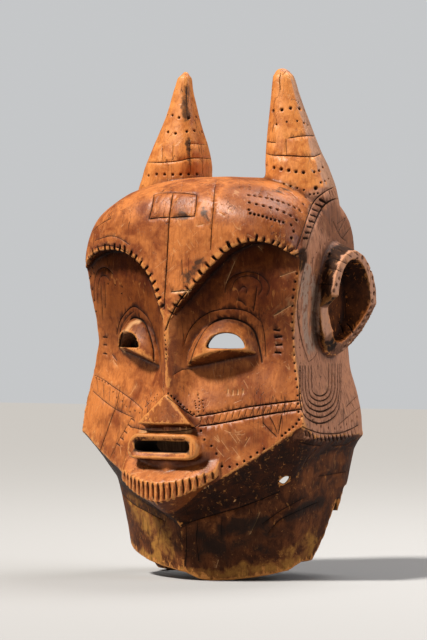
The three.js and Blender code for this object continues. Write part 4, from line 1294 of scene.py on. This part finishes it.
def carved_wood_patina():
    """Oiled and handled wood: honey to russet in front, grey brown at the sides, nearly black below."""
    wood = Finish("carved_wood_patina")
    tree, grain = wood.tree, wood.grain
    cloudy = maths(tree, "MULTIPLY", grain["Clouds"], 0.55)
    broad = maths(tree, "ADD", cloudy, maths(tree, "MULTIPLY", grain["Blotches"], 0.45))
    wood.colour = wood.mixed(span(tree, broad, 0.38, 0.62), RUSSET, HONEY)
    wood.lay(wood.patch("side", "Blotches", 0.6), wood.varied(SIDE_DARK, SIDE_LIGHT, 0.28, 0.62, "Streaks"))
    wood.lay(wood.patch("ear", "Blotches", 0.5), wood.varied(EAR_DARK, EAR_LIGHT, 0.3, 0.65))
    # The ear's pale step: fresh wood, lightened as painted light where it faces the side light
    wood.lay(wood.patch("notch", "Flecks", 0.4), RIM_LIGHT, strength=0.9)
    rim = wood.varied(SIDE_DARK, RIM_LIGHT, 0.25, 0.5, "Flecks")
    wood.lay(wood.patch("rim", "Flecks", 0.6), rim, strength=0.9)
    wood.lay(wood.patch("horn", "Clouds", 0.4), wood.varied(HORN_DARK, HORN_LIGHT, 0.3, 0.6))
    wood.lay(wood.patch("flank", "Blotches", 0.7), HORN_FLANK, strength=0.8)
    wood.lay(wood.patch("collar", "Clouds", 0.4), wood.varied(COLLAR_DARK, COLLAR_LIGHT, 0.36, 0.66))
    # Darker patches of the wood, and a painted shadow beside the ear
    wood.lay(wood.patch("darker_wood_and_shadow", "Blotches", 0.8), DARKER_WOOD_AND_SHADOW_TINT, "MULTIPLY", 0.85)
    leaf = wood.varied(SIDE_DARK, LEAF_GREY, 0.36, 0.52, "Flecks")
    wood.lay(wood.patch("leaf", "Flecks", 0.8), leaf, strength=0.9)
    wood.lay(wood.patch("gold", "Blotches", 1.6), wood.varied(COLLAR_LIGHT, GOLD, 0.35, 0.65))
    wood.lay(span(tree, grain["Streaks"], 0.42, 0.72), STREAK_TINT, "MULTIPLY", 0.42)
    wood.lay(span(tree, grain["Fibres"], 0.5, 0.8), FIBRE_TINT, "MULTIPLY", 0.3)
    wood.lay(wood.share("socket"), SOCKET_SHADE, "MULTIPLY")
    wood.lay(grain["Checks"], CHECK_TINT, "MULTIPLY", 0.75)
    # Undersides darkened: painted shade, with the darker unhandled wood there
    wood.lay(wood.share("underside"), UNDERSIDE_SHADE_AND_PATINA, "MULTIPLY", 0.9)
    # Hollows darkened: dirt in them, and painted shade
    wood.lay(wood.share("hollow"), HOLLOW_DIRT_AND_SHADE, "MULTIPLY", 0.85)
    lit = maths(tree, "SUBTRACT", 1.0, wood.share("socket"), clamp=True)
    matt = maths(tree, "MAXIMUM", wood.share("collar"), wood.share("socket"))
    for name in ("ear", "underside", "within", "cut"):
        matt = maths(tree, "MAXIMUM", matt, wood.share(name))
    open_wood = maths(tree, "SUBTRACT", 1.0, matt, clamp=True)
    wood.lay(maths(tree, "MULTIPLY", span(tree, grain["Flecks"], 0.60, 0.70), lit), WORN, strength=0.35)
    wood.lay(span(tree, grain["Flecks"], 0.42, 0.32), FLECK_TINT, "MULTIPLY", 0.4)
    touched = maths(tree, "SUBTRACT", lit, maths(tree, "MULTIPLY", wood.share("ear"), 0.65), clamp=True)
    wood.lay(maths(tree, "MULTIPLY", wood.patch("edge", "Flecks", 3.2), touched), WORN, strength=0.6)
    wood.lay(grain["Scuffs"], WORN, strength=0.2)
    wood.lay(maths(tree, "MULTIPLY", grain["Scratches"], open_wood), BARE_AND_HIGHLIGHT_TONE, strength=0.22)
    # Bare worn wood, and painted highlights on the eyelids and the upper lip
    wood.lay(wood.patch("bare_and_highlight", "Scuffs", 0.5), BARE_AND_HIGHLIGHT_TONE, strength=0.7)
    wood.lay(wood.share("fresh"), BARE_AND_HIGHLIGHT_TONE, strength=0.55)
    wood.lay(wood.patch("stain", "Blotches", 2.4), SOOT_AND_SHADE_BLACK, strength=0.85)
    wood.lay(grain["Specks"], SOOT_AND_SHADE_BLACK, strength=0.35)
    # The inside: raw wood darkened as painted shade
    wood.lay(wood.patch("within", "Blotches", 0.3), wood.varied(INSIDE_DARK_WOOD_AND_SHADE, INSIDE_RAW_WOOD_AND_SHADE, 0.3, 0.7, "Streaks"))
    wood.lay(wood.share("bowl"), BOWL_TINT, "MULTIPLY", 0.9)
    # Painted shade: the walls of the mouth slot darkened nearly to black
    wood.lay(wood.share("slot"), SOOT_AND_SHADE_BLACK, strength=0.9)
    # Painted shade in the cuts: grooves, notches, flutes and dots darkened nearly to black
    wood.lay(wood.share("cut"), SOOT_AND_SHADE_BLACK, strength=0.93)
    tree.links.new(wood.colour, wood.shader.inputs["Base Color"])

    rough = maths(tree, "ADD", maths(tree, "MULTIPLY", grain["Blotches"], 0.30), 0.27)
    rougher = {
        "side": 0.14, "collar": 0.2, "within": 0.35, "cut": 0.4, "ear": 0.15, "socket": 0.2, "slot": 0.4,
    }
    for name, amount in rougher.items():
        rough = maths(tree, "ADD", rough, maths(tree, "MULTIPLY", wood.share(name), amount))
    tree.links.new(maths(tree, "MINIMUM", rough, 0.95), wood.shader.inputs["Roughness"])
    inputs = {"Value": matt, "To Min": 0.32, "To Max": 0.1}
    sheen = add_node(tree, "ShaderNodeMapRange", inputs).outputs[0]
    tree.links.new(sheen, wood.shader.inputs["Specular IOR Level"])

    height = maths(tree, "MULTIPLY", grain["Fibres"], 0.4)
    relief = {
        "Streaks": 0.5, "Flecks": 0.3, "Blotches": 0.4, "Specks": -0.5, "Scuffs": -0.3, "Checks": -1.0,
        "Scratches": -0.3,
    }
    for name, amount in relief.items():
        height = maths(tree, "ADD", height, maths(tree, "MULTIPLY", grain[name], amount))
    inputs = {"Height": height, "Strength": 0.65, "Distance": 0.5 * MM}
    tree.links.new(add_node(tree, "ShaderNodeBump", inputs).outputs[0], wood.shader.inputs["Normal"])
    return wood.material


mask_mesh.materials.clear()
mask_mesh.materials.append(carved_wood_patina())


# ---- Studio ----
# Tone of the surroundings as they light the mask, and as they show
ROOM_LIGHT = (0.11, 0.1, 0.09, 1)
BACKDROP = (0.56, 0.57, 0.58, 1)
LIGHTS_AIM = Vector((0, 0, 280 * MM))
KEY = {"strength": 5.6, "softness": 0.16, "colour": (1, 0.95, 0.87), "elevation": 53, "azimuth": -27}


def studio_paper():
    material = bpy.data.materials.new("studio_paper")
    material.use_nodes = True
    bsdf = material.node_tree.nodes["Principled BSDF"]
    bsdf.inputs["Base Color"].default_value = (0.4, 0.4, 0.405, 1)
    bsdf.inputs["Roughness"].default_value = 0.95
    return material


def studio_floor():
    half = 6.0
    floor = bmesh.new()
    bmesh.ops.create_grid(floor, x_segments=1, y_segments=1, size=half)
    mesh = bpy.data.meshes.new("studio_floor")
    floor.to_mesh(mesh)
    mesh.materials.append(studio_paper())
    linked("studio_floor", mesh)


def soft_light(name, azimuth, elevation, distance, size, power, colour):
    """A square soft box that looks at the middle of the mask."""
    a, e = math.radians(azimuth), math.radians(elevation)
    away = Vector((math.sin(a) * math.cos(e), -math.cos(a) * math.cos(e), math.sin(e)))
    data = bpy.data.lights.new(name, "AREA")
    data.shape = "SQUARE"
    data.size = size
    data.energy = power
    data.color = colour
    light = bpy.data.objects.new(name, data)
    bpy.context.scene.collection.objects.link(light)
    light.location = LIGHTS_AIM + away * distance
    light.rotation_euler = (-away).to_track_quat("-Z", "Y").to_euler()


def key_light():
    """The main light: soft, high and to the mask's right."""
    data = bpy.data.lights.new("key_light", "SUN")
    data.energy = KEY["strength"]
    data.angle = KEY["softness"]
    data.color = KEY["colour"]
    light = bpy.data.objects.new("key_light", data)
    bpy.context.scene.collection.objects.link(light)
    light.rotation_euler = (math.radians(90 - KEY["elevation"]), 0, math.radians(KEY["azimuth"]))


def studio_light():
    """Pale even surroundings that light the mask less than they show, the main light and two soft boxes."""
    world = bpy.data.worlds.new("studio")
    world.use_nodes = True
    tree = world.node_tree
    background = tree.nodes["Background"]
    seen = add_node(tree, "ShaderNodeLightPath").outputs["Is Camera Ray"]
    inputs = {0: seen, 6: ROOM_LIGHT, 7: BACKDROP}
    tone = add_node(tree, "ShaderNodeMix", inputs, data_type="RGBA").outputs[2]
    tree.links.new(tone, background.inputs["Color"])
    bpy.context.scene.world = world
    key_light()
    soft_light("side_light", 104, 22, 2.0, 0.9, 13, (0.97, 0.96, 1))
    soft_light("top_light", 165, 66, 1.8, 0.8, 20, (1, 0.98, 0.95))


studio_floor()
studio_light()
bpy.context.scene.view_settings.view_transform = "Standard"
